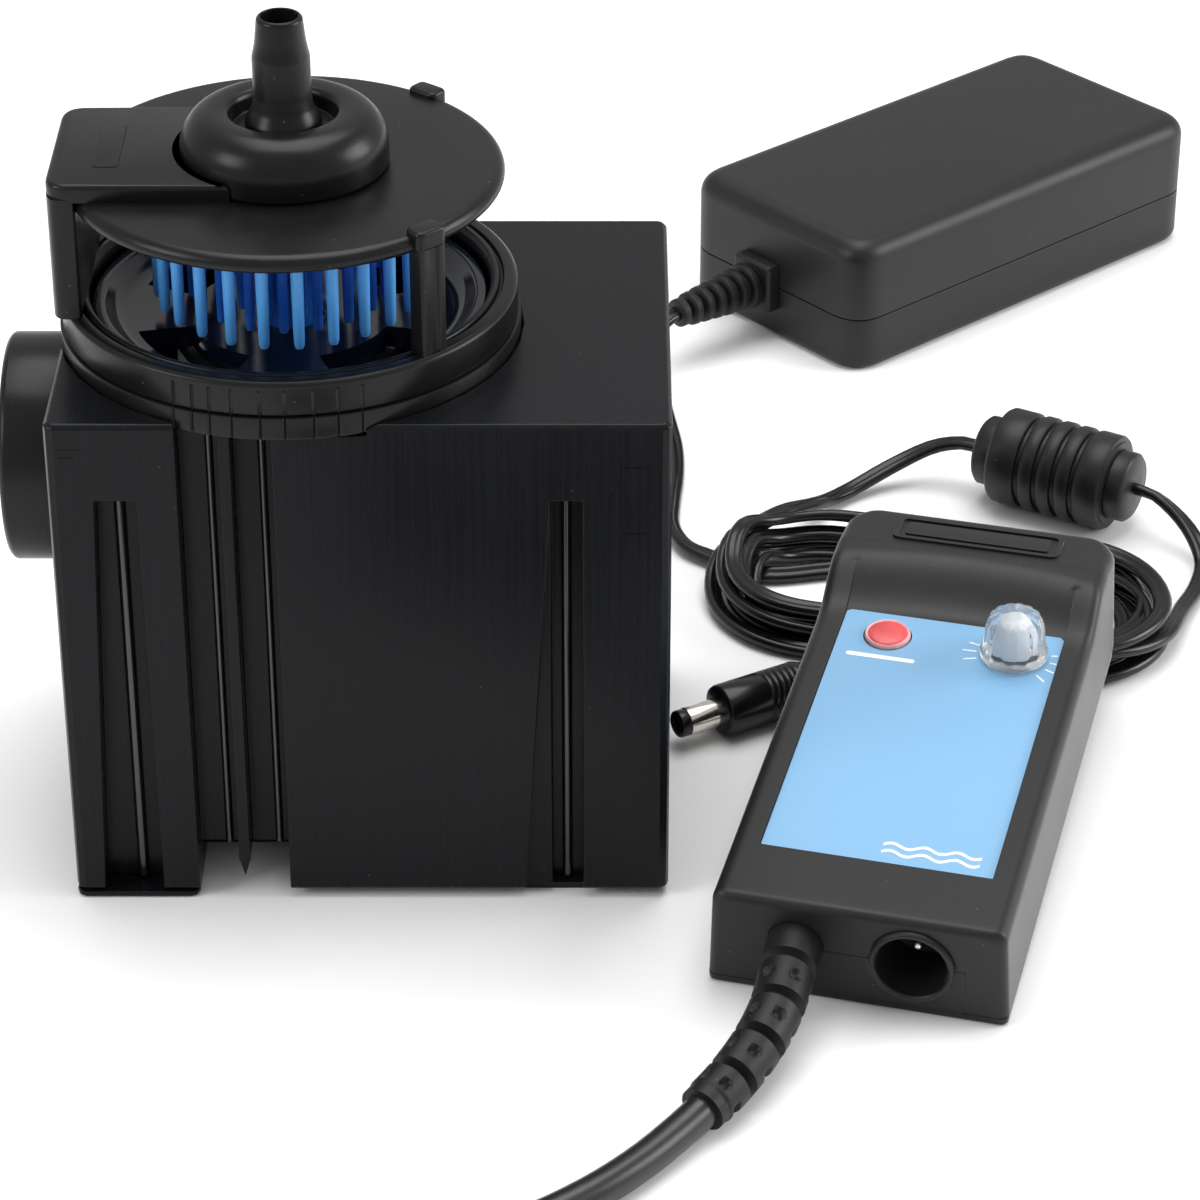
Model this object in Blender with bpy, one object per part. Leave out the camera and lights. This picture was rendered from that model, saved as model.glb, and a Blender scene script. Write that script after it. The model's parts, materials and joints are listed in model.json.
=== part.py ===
"""Foaming pump kit: a needle-wheel pump in its block, a hand-size controller with a food-timer button
and a speed knob, a table-top supply, and the two leads. All sizes are in millimetres; the nodes are in metres."""

import math

import bmesh
import bpy
from mathutils import Euler, Matrix, Vector

MM = 0.001
GAP = 0.3  # clearance that neighbouring solids keep

# Pump block: x and y from the wheel's axis, z from the surface it stands on
BLOCK_LEFT, BLOCK_RIGHT = -39.0, 65.0
BLOCK_FRONT, BLOCK_BACK = -37.0, 41.0
BLOCK_LOW, BLOCK_TOP = 1.5, 94.5
POCKET_RADIUS, POCKET_FLOOR = 28.0, 12.0
SEAT_RADIUS, SEAT_DEPTH = 39.8, 1.9
OUTLET_HEIGHT, OUTLET_Y, OUTLET_RADIUS, OUTLET_BORE = 69.5, 2.0, 20.0, 16.5
OUTLET_END = -50.0
GLAND_HEIGHT = 24.0

# Cage over the wheel
RING_OUTER, RING_INNER = 39.0, 34.3
RING_LOW, RING_TOP = 97.5, 103.5
DISC_RADIUS, DISC_LOW, DISC_TOP = 37.0, 122.0, 125.0
ARM_TOP, ARM_HALF = 128.0, 16.0
WALL_LEFT, WALL_RIGHT = -38.9, -34.0
PILLARS = {"cage_pillar_front": -47.5, "cage_pillar_rear": 51.0}  # degrees round the axis
PILLAR_CIRCLE, PILLAR_RADIUS, PILLAR_TOP = 36.7, 2.2, 126.0
DOME_RADIUS, DOME_TOP, NIPPLE_TOP = 17.6, 135.0, 151.5

# Rotor and motor
SHAFT_RADIUS, SHAFT_BORE = 2.0, 2.1
WHEEL_RADIUS, WHEEL_LOW, WHEEL_TOP, PIN_LOW = 24.2, 119.5, 120.9, 101.2
PIN_RINGS = ((24, 22.4, 1.15), (18, 16.6, 1.05), (12, 10.8, 1.0))  # pins, circle radius, pin radius
CAN_RADIUS, CAN_TOP = 20.0, 92.4

# Controller: x across, y from its socket end to its top end, z up, before it is tilted and turned
CASE_HALF, CASE_LENGTH, CASE_SPLIT, CASE_FACE, CASE_RIDGE = 26.0, 113.0, 8.0, 20.0, 25.0
FACE_START, FACE_END, LABEL_HALF = 14.5, 84.0, 20.0
BUTTON_AT, BUTTON_RADIUS = (-11.3, 77.5), 4.2
KNOB_AT, KNOB_RADIUS = (12.1, 76.8), 6.2
JACK_AT, JACK_BORE, JACK_OUTER = (9.4, 10.5), 6.2, 7.5
RELIEF_AT = (-10.7, 11.2)
CASE_PLACE, CASE_YAW, CASE_TILT = (96.5, -68.3, 0.0), -15.2, 5.7

# Supply: x along it from the end with the boot, y across, z up
SUPPLY_LENGTH, SUPPLY_WIDTH, SUPPLY_HEIGHT, SUPPLY_SPLIT = 106.0, 54.0, 30.0, 12.3
SUPPLY_PLACE, SUPPLY_YAW = (108.1, 157.9, 0.0), 41.2
BOOT_Y, BOOT_Z, BOOT_LENGTH = 30.0, 12.4, 25.0
INLET_Y, INLET_Z = 27.0, 14.6

# Low-voltage lead: a slim twin cord, six turns of it folded into a hank that the controller's top end lies on
LEAD_RADIUS = 1.8
HANK_CENTRE, HANK_YAW, HANK_HALF, HANK_RADIUS, HANK_HEIGHT = (118.7, 59.3), -15.2, 22.0, 24.2, 10.3
CHOKE_CENTRE, CHOKE_YAW, CHOKE_LENGTH, CHOKE_RADIUS = (146.0, 100.0), -30.0, 33.6, 9.8
PLUG_TIP, PLUG_YAW, PLUG_RADIUS, BARREL_LENGTH, PLUG_LENGTH = (67.2, 11.5), 30.0, 5.0, 9.0, 40.0

# Motor cable and its coil
CABLE_RADIUS = 3.0
COIL_CENTRE, COIL_INNER, COIL_OUTER, COIL_HEIGHT = (38.0, -178.0), 23.5, 42.5, 18.6
CONNECTOR_REAR, CONNECTOR_RADIUS, CONNECTOR_LENGTH = (68.0, -217.0), 6.5, 36.0

# Routes of the free cords, as x, y, z of the centreline
LEAD_HEAD = (
    (68.9, 163.4, 12.4), (66.9, 161.6, 12.2), (65.2, 156.6, 9.6), (65.4, 149.0, 4.6), (67.0, 138.0, 1.9),
    (68.6, 124.0, 1.9), (68.7, 112.0, 1.9), (67.9, 101.0, 1.9), (67.6, 91.0, 1.9), (70.3, 82.6, 1.9),
    (75.5, 77.9, 1.9),
)
LEAD_TO_CHOKE = (
    (96.2, 91.3, 1.9), (99.0, 98.5, 1.9), (105.0, 105.6, 2.3), (113.0, 110.6, 4.6), (121.0, 112.3, 8.0),
    (127.0, 111.0, 9.8), (131.1, 108.6, 10.0),
)
LEAD_FROM_CHOKE = (
    (160.9, 91.4, 10.0), (165.4, 88.2, 9.3), (170.6, 82.4, 6.0), (172.8, 75.0, 2.9), (171.3, 68.6, 1.9),
    (168.2, 65.0, 1.9), (164.2, 63.3, 1.9),
)
LEAD_TAIL = ((102.5, 31.9, 5.0), (104.2, 32.9, 4.8), (106.9, 34.2, 3.0), (108.5, 35.9, 1.9))
RELIEF_ROUTE = (
    (86.3, -65.2, 11.2), (85.6, -67.8, 11.0), (84.2, -74.0, 10.4), (82.2, -82.0, 9.0), (78.8, -89.6, 7.2),
    (74.2, -96.8, 5.4), (69.6, -102.9, 4.3),
)
MOTOR_CABLE = (
    (69.2, -103.4, 4.2), (65.0, -108.6, 3.5), (59.6, -114.9, 3.1), (53.0, -121.6, 3.0), (45.6, -127.6, 3.0),
    (40.6, -130.0, 3.0), (36.6, -132.2, 3.0),
)

FINISHES = {  # colour, roughness, metallic
    "block_plastic": ((0.012, 0.013, 0.014), 0.38, 0.0),
    "cage_plastic": ((0.013, 0.013, 0.014), 0.32, 0.0),
    "wheel_plastic": ((0.035, 0.26, 0.78), 0.35, 0.0),
    "case_plastic": ((0.015, 0.015, 0.015), 0.55, 0.0),
    "label_film": ((0.27, 0.51, 0.78), 0.45, 0.0),
    "button_plastic": ((0.75, 0.06, 0.06), 0.35, 0.0),
    "knob_plastic": ((0.8, 0.84, 0.88), 0.12, 0.0),
    "rubber": ((0.01, 0.01, 0.01), 0.75, 0.0),
    "cord_pvc": ((0.012, 0.012, 0.013), 0.35, 0.0),
    "steel": ((0.62, 0.62, 0.63), 0.3, 1.0),
    "nickel": ((0.75, 0.72, 0.66), 0.2, 1.0),
    "magnet": ((0.06, 0.06, 0.065), 0.45, 0.3),
    "ceramic": ((0.85, 0.84, 0.8), 0.25, 0.0),
    "copper": ((0.7, 0.3, 0.13), 0.35, 1.0),
    "board": ((0.02, 0.16, 0.06), 0.5, 0.0),
}


def clear_scene():
    for obj in list(bpy.data.objects):
        bpy.data.objects.remove(obj, do_unlink=True)


def finish(slot):
    """The Principled material of a slot, made once."""
    if slot in bpy.data.materials:
        return bpy.data.materials[slot]
    colour, roughness, metallic = FINISHES[slot]
    made = bpy.data.materials.new(slot)
    made.use_nodes = True
    shader = made.node_tree.nodes["Principled BSDF"]
    shader.inputs["Base Color"].default_value = (*colour, 1.0)
    shader.inputs["Roughness"].default_value = roughness
    shader.inputs["Metallic"].default_value = metallic
    return made


def frame(name, place=(0.0, 0.0, 0.0), tilt=0.0, yaw=0.0, parent=None):
    """An empty that carries the pieces of one unit."""
    empty = bpy.data.objects.new(name, None)
    bpy.context.scene.collection.objects.link(empty)
    empty.location = Vector(place) * MM
    empty.rotation_euler = Euler((math.radians(tilt), 0.0, math.radians(yaw)))
    empty.parent = parent
    return empty


def add(name, bm, slot, parent, at=(0.0, 0.0, 0.0)):
    """Turns a bmesh in millimetres, drawn in the parent's frame, into an object whose origin is at a point."""
    bmesh.ops.translate(bm, vec=-Vector(at), verts=bm.verts)
    bmesh.ops.scale(bm, vec=(MM, MM, MM), verts=bm.verts)
    bmesh.ops.recalc_face_normals(bm, faces=bm.faces)
    mesh = bpy.data.meshes.new(name)
    bm.to_mesh(mesh)
    bm.free()
    mesh.materials.append(finish(slot))
    mesh.shade_smooth()
    mesh.set_sharp_from_angle(angle=math.radians(32))
    obj = bpy.data.objects.new(name, mesh)
    bpy.context.scene.collection.objects.link(obj)
    obj.parent = parent
    obj.location = Vector(at) * MM
    return obj


def combine(obj, bm, operation="DIFFERENCE"):
    """Cuts a bmesh, drawn in obj's own frame, from obj or joins it on, with a hidden helper."""
    bmesh.ops.scale(bm, vec=(MM, MM, MM), verts=bm.verts)
    bmesh.ops.recalc_face_normals(bm, faces=bm.faces)
    mesh = bpy.data.meshes.new(obj.name + "_helper")
    bm.to_mesh(mesh)
    bm.free()
    helper = bpy.data.objects.new(obj.name + "_helper", mesh)
    bpy.context.scene.collection.objects.link(helper)
    helper.parent = obj
    helper.hide_render = True
    helper.display_type = "WIRE"
    boolean = obj.modifiers.new("Boolean", "BOOLEAN")
    boolean.operation = operation
    boolean.object = helper


def loft(rings, closed=False):
    """A solid through rings of equally many points; the first and last are capped unless it closes on itself."""
    bm = bmesh.new()
    levels = [[bm.verts.new(point) for point in ring] for ring in rings]
    pairs = list(zip(levels, levels[1:]))
    if closed:
        pairs.append((levels[-1], levels[0]))
    for low, high in pairs:
        for i in range(len(low)):
            j = (i + 1) % len(low)
            bm.faces.new((low[i], low[j], high[j], high[i]))
    if not closed:
        bm.faces.new(levels[0][::-1])
        bm.faces.new(levels[-1])
    return bm


def prism(outline, low, high, bevel=0.0, segments=2, rims="both"):
    """A straight-sided solid over an outline, with its low and high rims rounded."""
    bm = loft([[(x, y, z) for x, y in outline] for z in (low, high)])
    if bevel:
        levels = {"both": (low, high), "high": (high,), "low": (low,)}[rims]
        edges = [e for e in bm.edges if any(all(abs(v.co.z - z) < 1e-5 for v in e.verts) for z in levels)]
        bmesh.ops.bevel(bm, geom=edges, offset=bevel, segments=segments, affect="EDGES", profile=0.5)
    return bm


def arc(centre, radius, start, end, steps):
    """Points on an arc, in degrees, both ends included."""
    angles = [math.radians(start + (end - start) * i / steps) for i in range(steps + 1)]
    return [(centre[0] + radius * math.cos(a), centre[1] + radius * math.sin(a)) for a in angles]


def rounded(x0, x1, y0, y1, radius, steps=3):
    """A rectangle with rounded corners, counterclockwise."""
    corners = ((x1 - radius, y1 - radius, 0), (x0 + radius, y1 - radius, 90),
               (x0 + radius, y0 + radius, 180), (x1 - radius, y0 + radius, 270))
    return [p for x, y, start in corners for p in arc((x, y), radius, start, start + 90, steps)]


def box(x0, x1, y0, y1, z0, z1):
    return prism([(x0, y0), (x1, y0), (x1, y1), (x0, y1)], z0, z1)


def turned(profile, steps=32, centre=(0.0, 0.0)):
    """A solid of revolution about a vertical axis. A profile that starts and ends on the axis is a plain
    solid; any other profile is a ring."""
    on_axis = profile[0][0] == 0.0
    ring_points = profile[1:-1] if on_axis else profile
    rings = []
    for radius, z in ring_points:
        rings.append([(x, y, z) for x, y in arc(centre, radius, 0, 360 - 360 / steps, steps - 1)])
    if not on_axis:
        return loft(rings, closed=True)
    return loft(rings)


def lay_along(bm, axis):
    """Turns a solid made about z so that its axis lies along x or y, high end forward."""
    turns = {"x": Matrix.Rotation(math.radians(90), 3, "Y"), "y": Matrix.Rotation(math.radians(-90), 3, "X")}
    bmesh.ops.rotate(bm, cent=(0, 0, 0), matrix=turns[axis], verts=bm.verts)
    return bm


def moved(bm, offset):
    bmesh.ops.translate(bm, vec=offset, verts=bm.verts)
    return bm


def merged(*parts):
    """Several bmeshes in one, for a helper that cuts in several places."""
    whole = bmesh.new()
    for part in parts:
        mesh = bpy.data.meshes.new("part")
        part.to_mesh(mesh)
        part.free()
        whole.from_mesh(mesh)
        bpy.data.meshes.remove(mesh)
    return whole


def upright(outline, y0, y1):
    """A prism whose outline is in x and z, carried along y."""
    return loft([[(x, y, z) for x, z in outline] for y in (y0, y1)])


def smooth_route(route, spacing):
    """Even points on a Catmull-Rom curve through a route."""
    points = [Vector(p) for p in route]
    points = [2 * points[0] - points[1], *points, 2 * points[-1] - points[-2]]
    dense = []
    for a, b, c, d in zip(points, points[1:], points[2:], points[3:]):
        for i in range(12):
            t = i / 12
            dense.append(0.5 * (2 * b + (c - a) * t + (2 * a - 5 * b + 4 * c - d) * t * t
                                + (3 * b - a - 3 * c + d) * t ** 3))
    dense.append(points[-2])
    lengths = [0.0]
    for p, q in zip(dense, dense[1:]):
        lengths.append(lengths[-1] + (q - p).length)
    count = max(3, round(lengths[-1] / spacing))
    even = []
    index = 0
    for i in range(count + 1):
        target = lengths[-1] * i / count
        while index < len(lengths) - 2 and lengths[index + 1] < target:
            index += 1
        share = (target - lengths[index]) / (lengths[index + 1] - lengths[index])
        even.append(dense[index].lerp(dense[index + 1], min(1.0, share)))
    return even


def tube(name, points, radius, slot, sides=2, radii=None):
    """A capped tube along points, in the world's frame; radii are shares of its radius."""
    curve = bpy.data.curves.new(name, "CURVE")
    curve.dimensions = "3D"
    curve.bevel_depth = radius * MM
    curve.bevel_resolution = sides
    curve.use_fill_caps = True
    spline = curve.splines.new("POLY")
    spline.points.add(len(points) - 1)
    for i, point in enumerate(points):
        spline.points[i].co = (*(Vector(point) * MM), 1.0)
        spline.points[i].radius = radii[i] if radii else 1.0
    curve.materials.append(finish(slot))
    obj = bpy.data.objects.new(name, curve)
    bpy.context.scene.collection.objects.link(obj)
    return obj


def block_housing(pump):
    outline = rounded(BLOCK_LEFT, BLOCK_RIGHT, BLOCK_FRONT, BLOCK_BACK, 1.6, 2)
    obj = add("block_housing", prism(outline, BLOCK_LOW, BLOCK_TOP, 0.7, 1), "block_plastic", pump)
    combine(obj, turned([(0, 0), (POCKET_RADIUS, POCKET_FLOOR), (POCKET_RADIUS, 93), (0, 0)], 36))
    combine(obj, turned([(0, 0), (SEAT_RADIUS, BLOCK_TOP - SEAT_DEPTH), (SEAT_RADIUS, 97), (0, 0)], 36))
    front = BLOCK_FRONT - 1
    combine(obj, merged(
        upright([(-34.0, 0), (-23.6, 0), (-24.3, 80.2), (-31.2, 80.2)], front, -31.8),
        upright([(-17.3, 8.2), (-10.2, 8.2), (-10.2, 96), (-17.3, 96)], front, -31.2),
        upright([(-8.2, 8.2), (-1.4, 8.2), (-1.4, 96), (-8.2, 96)], front, -31.2),
        upright([(44.7, 0), (50.1, 0), (50.1, 80.2), (44.7, 80.2)], front, -31.8),
    ))
    notch = [(-17.3, 0), (-1.4, 0), (-1.4, 8.25), (-8.2, 8.25), (-9.2, 4.5), (-10.2, 8.25), (-17.3, 8.25)]
    combine(obj, upright(notch, front, -22.0))
    combine(obj, upright([(39.9, 0), (44.75, 0), (44.75, 80.0)], front, -35.2))
    combine(obj, box(33.5, 60.5, -27.5, 36.5, 0.0, 89.0))
    port = lay_along(turned([(0, 0), (7.5, 24), (7.5, 35), (0, 0)], 16), "x")
    combine(obj, moved(port, (0, 0, 74)))
    hole = lay_along(turned([(0, 0), (OUTLET_RADIUS + GAP, -42), (OUTLET_RADIUS + GAP, -21), (0, 0)], 36), "x")
    combine(obj, moved(hole, (0, OUTLET_Y, OUTLET_HEIGHT)))
    gland = lay_along(turned([(0, 0), (6.0, 24), (6.0, 43), (0, 0)], 20), "y")
    combine(obj, moved(gland, (0, 0, GLAND_HEIGHT)))


def block_base(pump):
    cap = rounded(BLOCK_LEFT, -17.4, BLOCK_FRONT, BLOCK_BACK, 1.6, 2)
    add("block_foot_cap", prism(cap, 0.0, BLOCK_LOW - GAP, 0.4, 1, "low"), "block_plastic", pump)
    mat = [(1.0, -34.0), (62.0, -34.0), (62.0, 38.0), (-14.0, 38.0), (-14.0, -16.0), (1.0, -16.0)]
    add("base_mat", prism(mat, 0.0, BLOCK_LOW - GAP), "rubber", pump)


def outlet(pump):
    groove = OUTLET_RADIUS - 1.4
    profile = [
        (OUTLET_BORE, OUTLET_END + 1.0), (OUTLET_BORE + 1.0, OUTLET_END), (OUTLET_RADIUS - 0.8, OUTLET_END),
        (OUTLET_RADIUS, OUTLET_END + 0.8), (OUTLET_RADIUS, -36.4), (groove, -36.4), (groove, -33.4),
        (OUTLET_RADIUS, -33.4), (OUTLET_RADIUS, -30.0), (OUTLET_BORE, -30.0),
    ]
    place = (0, OUTLET_Y, OUTLET_HEIGHT)
    add("outlet_socket", moved(lay_along(turned(profile, 28), "x"), place), "block_plastic", pump)
    ring = [(groove + GAP, -36.1), (OUTLET_RADIUS, -36.1), (OUTLET_RADIUS, -33.7), (groove + GAP, -33.7)]
    add("outlet_seal", moved(lay_along(turned(ring, 28), "x"), place), "rubber", pump)


def motor(pump):
    can = [
        (0, 0), (CAN_RADIUS - 1, POCKET_FLOOR + GAP), (CAN_RADIUS, POCKET_FLOOR + 1.3), (CAN_RADIUS, CAN_TOP),
        (CAN_RADIUS - 1.2, CAN_TOP), (CAN_RADIUS - 1.2, POCKET_FLOOR + 2.4), (0, 0),
    ]
    add("motor_can", turned(can, 24), "case_plastic", pump)
    core = add("stator_core", turned([(10.4, 50), (18.5, 50), (18.5, 90), (10.4, 90)], 24), "steel", pump)
    slots = []
    for i in range(6):
        slot = box(9.0, 16.0, -1.6, 1.6, 49, 91)
        turn = Matrix.Rotation(math.radians(60 * i), 3, "Z")
        bmesh.ops.rotate(slot, cent=(0, 0, 0), matrix=turn, verts=slot.verts)
        slots.append(slot)
    combine(core, merged(*slots))
    add("stator_winding", turned([(11, 32), (18.2, 32), (18.2, 49.7), (11, 49.7)], 24), "copper", pump)
    seat = [(0, 0), (7.0, 14.7), (7.0, 22.0), (SHAFT_RADIUS + GAP, 22.0), (SHAFT_RADIUS + GAP, 17.0), (0, 0)]
    add("shaft_seat", turned(seat, 20), "rubber", pump)
    shaft = [(0, 0), (SHAFT_RADIUS, 17.3), (SHAFT_RADIUS, 117.7), (SHAFT_RADIUS - 0.4, 118.0), (0, 0)]
    add("rotor_shaft", turned(shaft, 20), "ceramic", pump)
    gland = [
        (2.6, 29.5), (5.7, 29.5), (5.7, 41.3), (8.5, 41.3), (8.5, 45.0), (6.6, 46.5), (4.9, 52.0), (3.2, 52.0),
        (3.2, 34.0), (2.6, 34.0),
    ]
    add("motor_gland", moved(lay_along(turned(gland, 16), "y"), (0, 0, GLAND_HEIGHT)), "rubber", pump)


def volute_floor(pump):
    """The dished floor under the wheel, with four kidney ports down to the motor's water jacket."""
    profile = [(5.6, 93.0), (33.6, 93.0), (33.6, 100.6), (31.8, 100.6), (29.6, 97.6), (9.0, 96.4), (5.6, 96.4)]
    obj = add("volute_floor", turned(profile, 32), "cage_plastic", pump)
    ports = []
    for i in range(4):
        middle = 45 + 90 * i
        outline = arc((0, 0), 27.0, middle - 26, middle + 26, 6) + arc((0, 0), 17.5, middle + 26, middle - 26, 5)
        ports.append(prism(outline, 92, 102))
    combine(obj, merged(*ports))


def rotor(pump):
    hub = 5.0
    profile = [
        (SHAFT_BORE, 92.7), (hub, 92.7), (hub, WHEEL_LOW), (WHEEL_RADIUS, WHEEL_LOW), (WHEEL_RADIUS, WHEEL_TOP),
        (SHAFT_BORE, WHEEL_TOP),
    ]
    axis = (0.0, 0.0, WHEEL_LOW)
    wheel = add("needle_wheel", turned(profile, 32), "wheel_plastic", pump, axis)
    pins = []
    for count, circle, radius in PIN_RINGS:
        for i in range(count):
            angle = 2 * math.pi * (i + 0.5) / count
            centre = (circle * math.cos(angle), circle * math.sin(angle))
            outline = [(0, 0), (radius * 0.75, PIN_LOW), (radius, WHEEL_LOW + 0.7), (0, 0)]
            pins.append(moved(turned(outline, 6, centre), (0, 0, -WHEEL_LOW)))
    combine(wheel, merged(*pins), "UNION")
    magnet = [(SHAFT_BORE, 58.0), (9.0, 58.0), (9.0, 92.4), (SHAFT_BORE, 92.4)]
    add("rotor_magnet", turned(magnet, 24), "magnet", pump, axis)


def cage(pump):
    bayonet = [(34.2, 93.0), (39.2, 93.0), (39.5, 93.3), (39.5, 97.2), (34.2, 97.2)]
    add("bayonet_ring", turned(bayonet, 36), "cage_plastic", pump)
    rim = [
        (RING_INNER, RING_LOW), (RING_OUTER, RING_LOW), (RING_OUTER, RING_TOP - 0.6),
        (RING_OUTER - 0.6, RING_TOP), (36.6, RING_TOP), (36.4, RING_TOP - 0.7), (36.0, RING_TOP - 0.7),
        (35.8, RING_TOP),
        (RING_INNER + 0.4, RING_TOP), (RING_INNER, RING_TOP - 0.4),
    ]
    add("cage_ring", turned(rim, 36), "cage_plastic", pump)
    disc = [
        (9.0, DISC_LOW), (DISC_RADIUS - 0.8, DISC_LOW), (DISC_RADIUS, DISC_LOW + 0.8),
        (DISC_RADIUS, DISC_TOP - 0.9), (DISC_RADIUS - 0.9, DISC_TOP), (9.0, DISC_TOP),
    ]
    plate = add("cage_disc", turned(disc, 36), "cage_plastic", pump)
    foot = RING_TOP + GAP
    cuts = [box(-40, WALL_RIGHT + GAP, -ARM_HALF - GAP, ARM_HALF + GAP, 120, 127)]
    for name, degrees in PILLARS.items():
        centre = arc((0, 0), PILLAR_CIRCLE, degrees, degrees, 1)[0]
        hole = [(0, 0), (PILLAR_RADIUS + GAP, 120), (PILLAR_RADIUS + GAP, 127), (0, 0)]
        cuts.append(turned(hole, 16, centre))
        post = [
            (0, 0), (PILLAR_RADIUS, foot), (PILLAR_RADIUS, PILLAR_TOP - 0.8),
            (PILLAR_RADIUS - 0.8, PILLAR_TOP), (0, 0),
        ]
        add(name, turned(post, 16, centre), "cage_plastic", pump)
    combine(plate, merged(*cuts))
    wall = rounded(WALL_LEFT, WALL_RIGHT, -ARM_HALF, ARM_HALF, 1.5, 2)
    add("cage_wall", prism(wall, foot, DISC_TOP), "cage_plastic", pump)
    corners = rounded(WALL_LEFT, -3.0, -ARM_HALF, ARM_HALF, 4.0, 3)
    inner = [(x, y) for x, y in corners if x < -20]
    seat = arc((0, 0), DOME_RADIUS + GAP + 0.1, 228, 132, 10)
    outline = [*inner, (seat[0][0], -ARM_HALF), *seat, (seat[-1][0], ARM_HALF)]
    add("cage_arm", prism(outline, DISC_TOP + GAP, ARM_TOP, 0.8, 1, "high"), "cage_plastic", pump)


def air_cap(pump):
    low = DISC_TOP + GAP
    dome = [
        (5.1, 129.6), (15.4, 129.6), (15.6, low), (DOME_RADIUS, low), (DOME_RADIUS, 129.2), (16.9, 131.8),
        (15.2, 133.8), (13.0, DOME_TOP - 0.2), (11.4, DOME_TOP), (9.8, DOME_TOP - 0.3), (9.0, 134.0), (9.0, 131.5),
        (5.1, 131.5),
    ]
    add("dome_cap", turned(dome, 28), "cage_plastic", pump)
    bore = 3.15
    nipple = [
        (bore, 127.0), (4.8, 127.0), (4.8, 131.8), (6.5, 131.8), (6.5, 133.2), (4.9, 136.0), (4.9, 144.6),
        (4.5, 145.6), (4.3, 147.0), (3.8, NIPPLE_TOP - 0.4), (3.5, NIPPLE_TOP), (bore, NIPPLE_TOP),
    ]
    add("air_nipple", turned(nipple, 16), "cage_plastic", pump)


def case_outline(inset, corner):
    """Plan of the controller's inside, with a solid corner left for each screw."""
    x = CASE_HALF - inset
    y0, y1 = inset, CASE_LENGTH - 3 * inset
    return [(-x + corner, y0), (x - corner, y0), (x - corner, y0 + corner), (x, y0 + corner),
            (x, y1 - corner), (x - corner, y1 - corner), (x - corner, y1), (-x + corner, y1),
            (-x + corner, y1 - corner), (-x, y1 - corner), (-x, y0 + corner), (-x + corner, y0 + corner)]


def end_hole(radius, at, y0, y1, steps=24):
    """A cutter through the controller's socket end."""
    return moved(lay_along(turned([(0, 0), (radius, y0), (radius, y1), (0, 0)], steps), "y"), (at[0], 0, at[1]))


def controller_shells(case):
    wall = 2.2
    plan = rounded(-CASE_HALF, CASE_HALF, 0.0, CASE_LENGTH, 3.0, 3)
    lower = add("controller_lower_shell", prism(plan, 0.0, CASE_SPLIT, 0.6, 1, "low"), "case_plastic", case)
    combine(lower, prism(case_outline(wall, 6.0), 2.0, 9.0))
    side = [(0.0, CASE_SPLIT + GAP), (0.0, CASE_FACE), (FACE_END + 2, CASE_FACE), (98.0, CASE_RIDGE),
            (CASE_LENGTH, 22.2), (CASE_LENGTH, CASE_SPLIT + GAP)]
    body = loft([[(x, y, z) for y, z in side] for x in (-CASE_HALF, CASE_HALF)])
    top_edges = [e for e in body.edges if all(v.co.z > 16 for v in e.verts)]
    upright_edges = [e for e in body.edges
                     if abs(e.verts[0].co.z - e.verts[1].co.z) > 5 and e.verts[0].co.y == e.verts[1].co.y]
    bmesh.ops.bevel(body, geom=list(set(top_edges + upright_edges)), offset=2.2, segments=2, affect="EDGES",
                    profile=0.5, clamp_overlap=True)
    upper = add("controller_upper_shell", body, "case_plastic", case)
    combine(upper, prism(case_outline(wall, 6.0), CASE_SPLIT - 1, CASE_FACE - wall))
    tray_half = LABEL_HALF + GAP
    tray = box(-tray_half, tray_half, FACE_START - GAP, FACE_END + GAP, CASE_FACE - 1.0, CASE_FACE + 9)
    combine(upper, tray)
    well = [(0, 0), (BUTTON_RADIUS + GAP, 15), (BUTTON_RADIUS + GAP, 22), (0, 0)]
    stem = [(0, 0), (3.4, 15), (3.4, 22), (0, 0)]
    combine(upper, merged(turned(well, 24, BUTTON_AT), turned(stem, 20, KNOB_AT)))
    for shell in (lower, upper):
        combine(shell, end_hole(JACK_OUTER + GAP, JACK_AT, -2, 5, 28))
        combine(shell, end_hole(4.7, RELIEF_AT, -2, 5))
    for i, (x, y) in enumerate(((-20.8, 5.2), (20.8, 5.2), (-20.8, 103.4), (20.8, 103.4)), 1):
        hole = [(0, 0), (2.8, -1.0), (2.8, 2.4), (1.6, 2.4), (1.6, 14.0), (0, 0)]
        combine(lower, turned(hole, 12, (x, y)))
        combine(upper, turned(hole, 12, (x, y)))
        screw = [(0, 0), (2.4, 0.6), (2.4, 2.1), (1.3, 2.1), (1.3, 13.4), (0, 0)]
        add(f"case_screw_{i}", turned(screw, 12, (x, y)), "steel", case)


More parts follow.
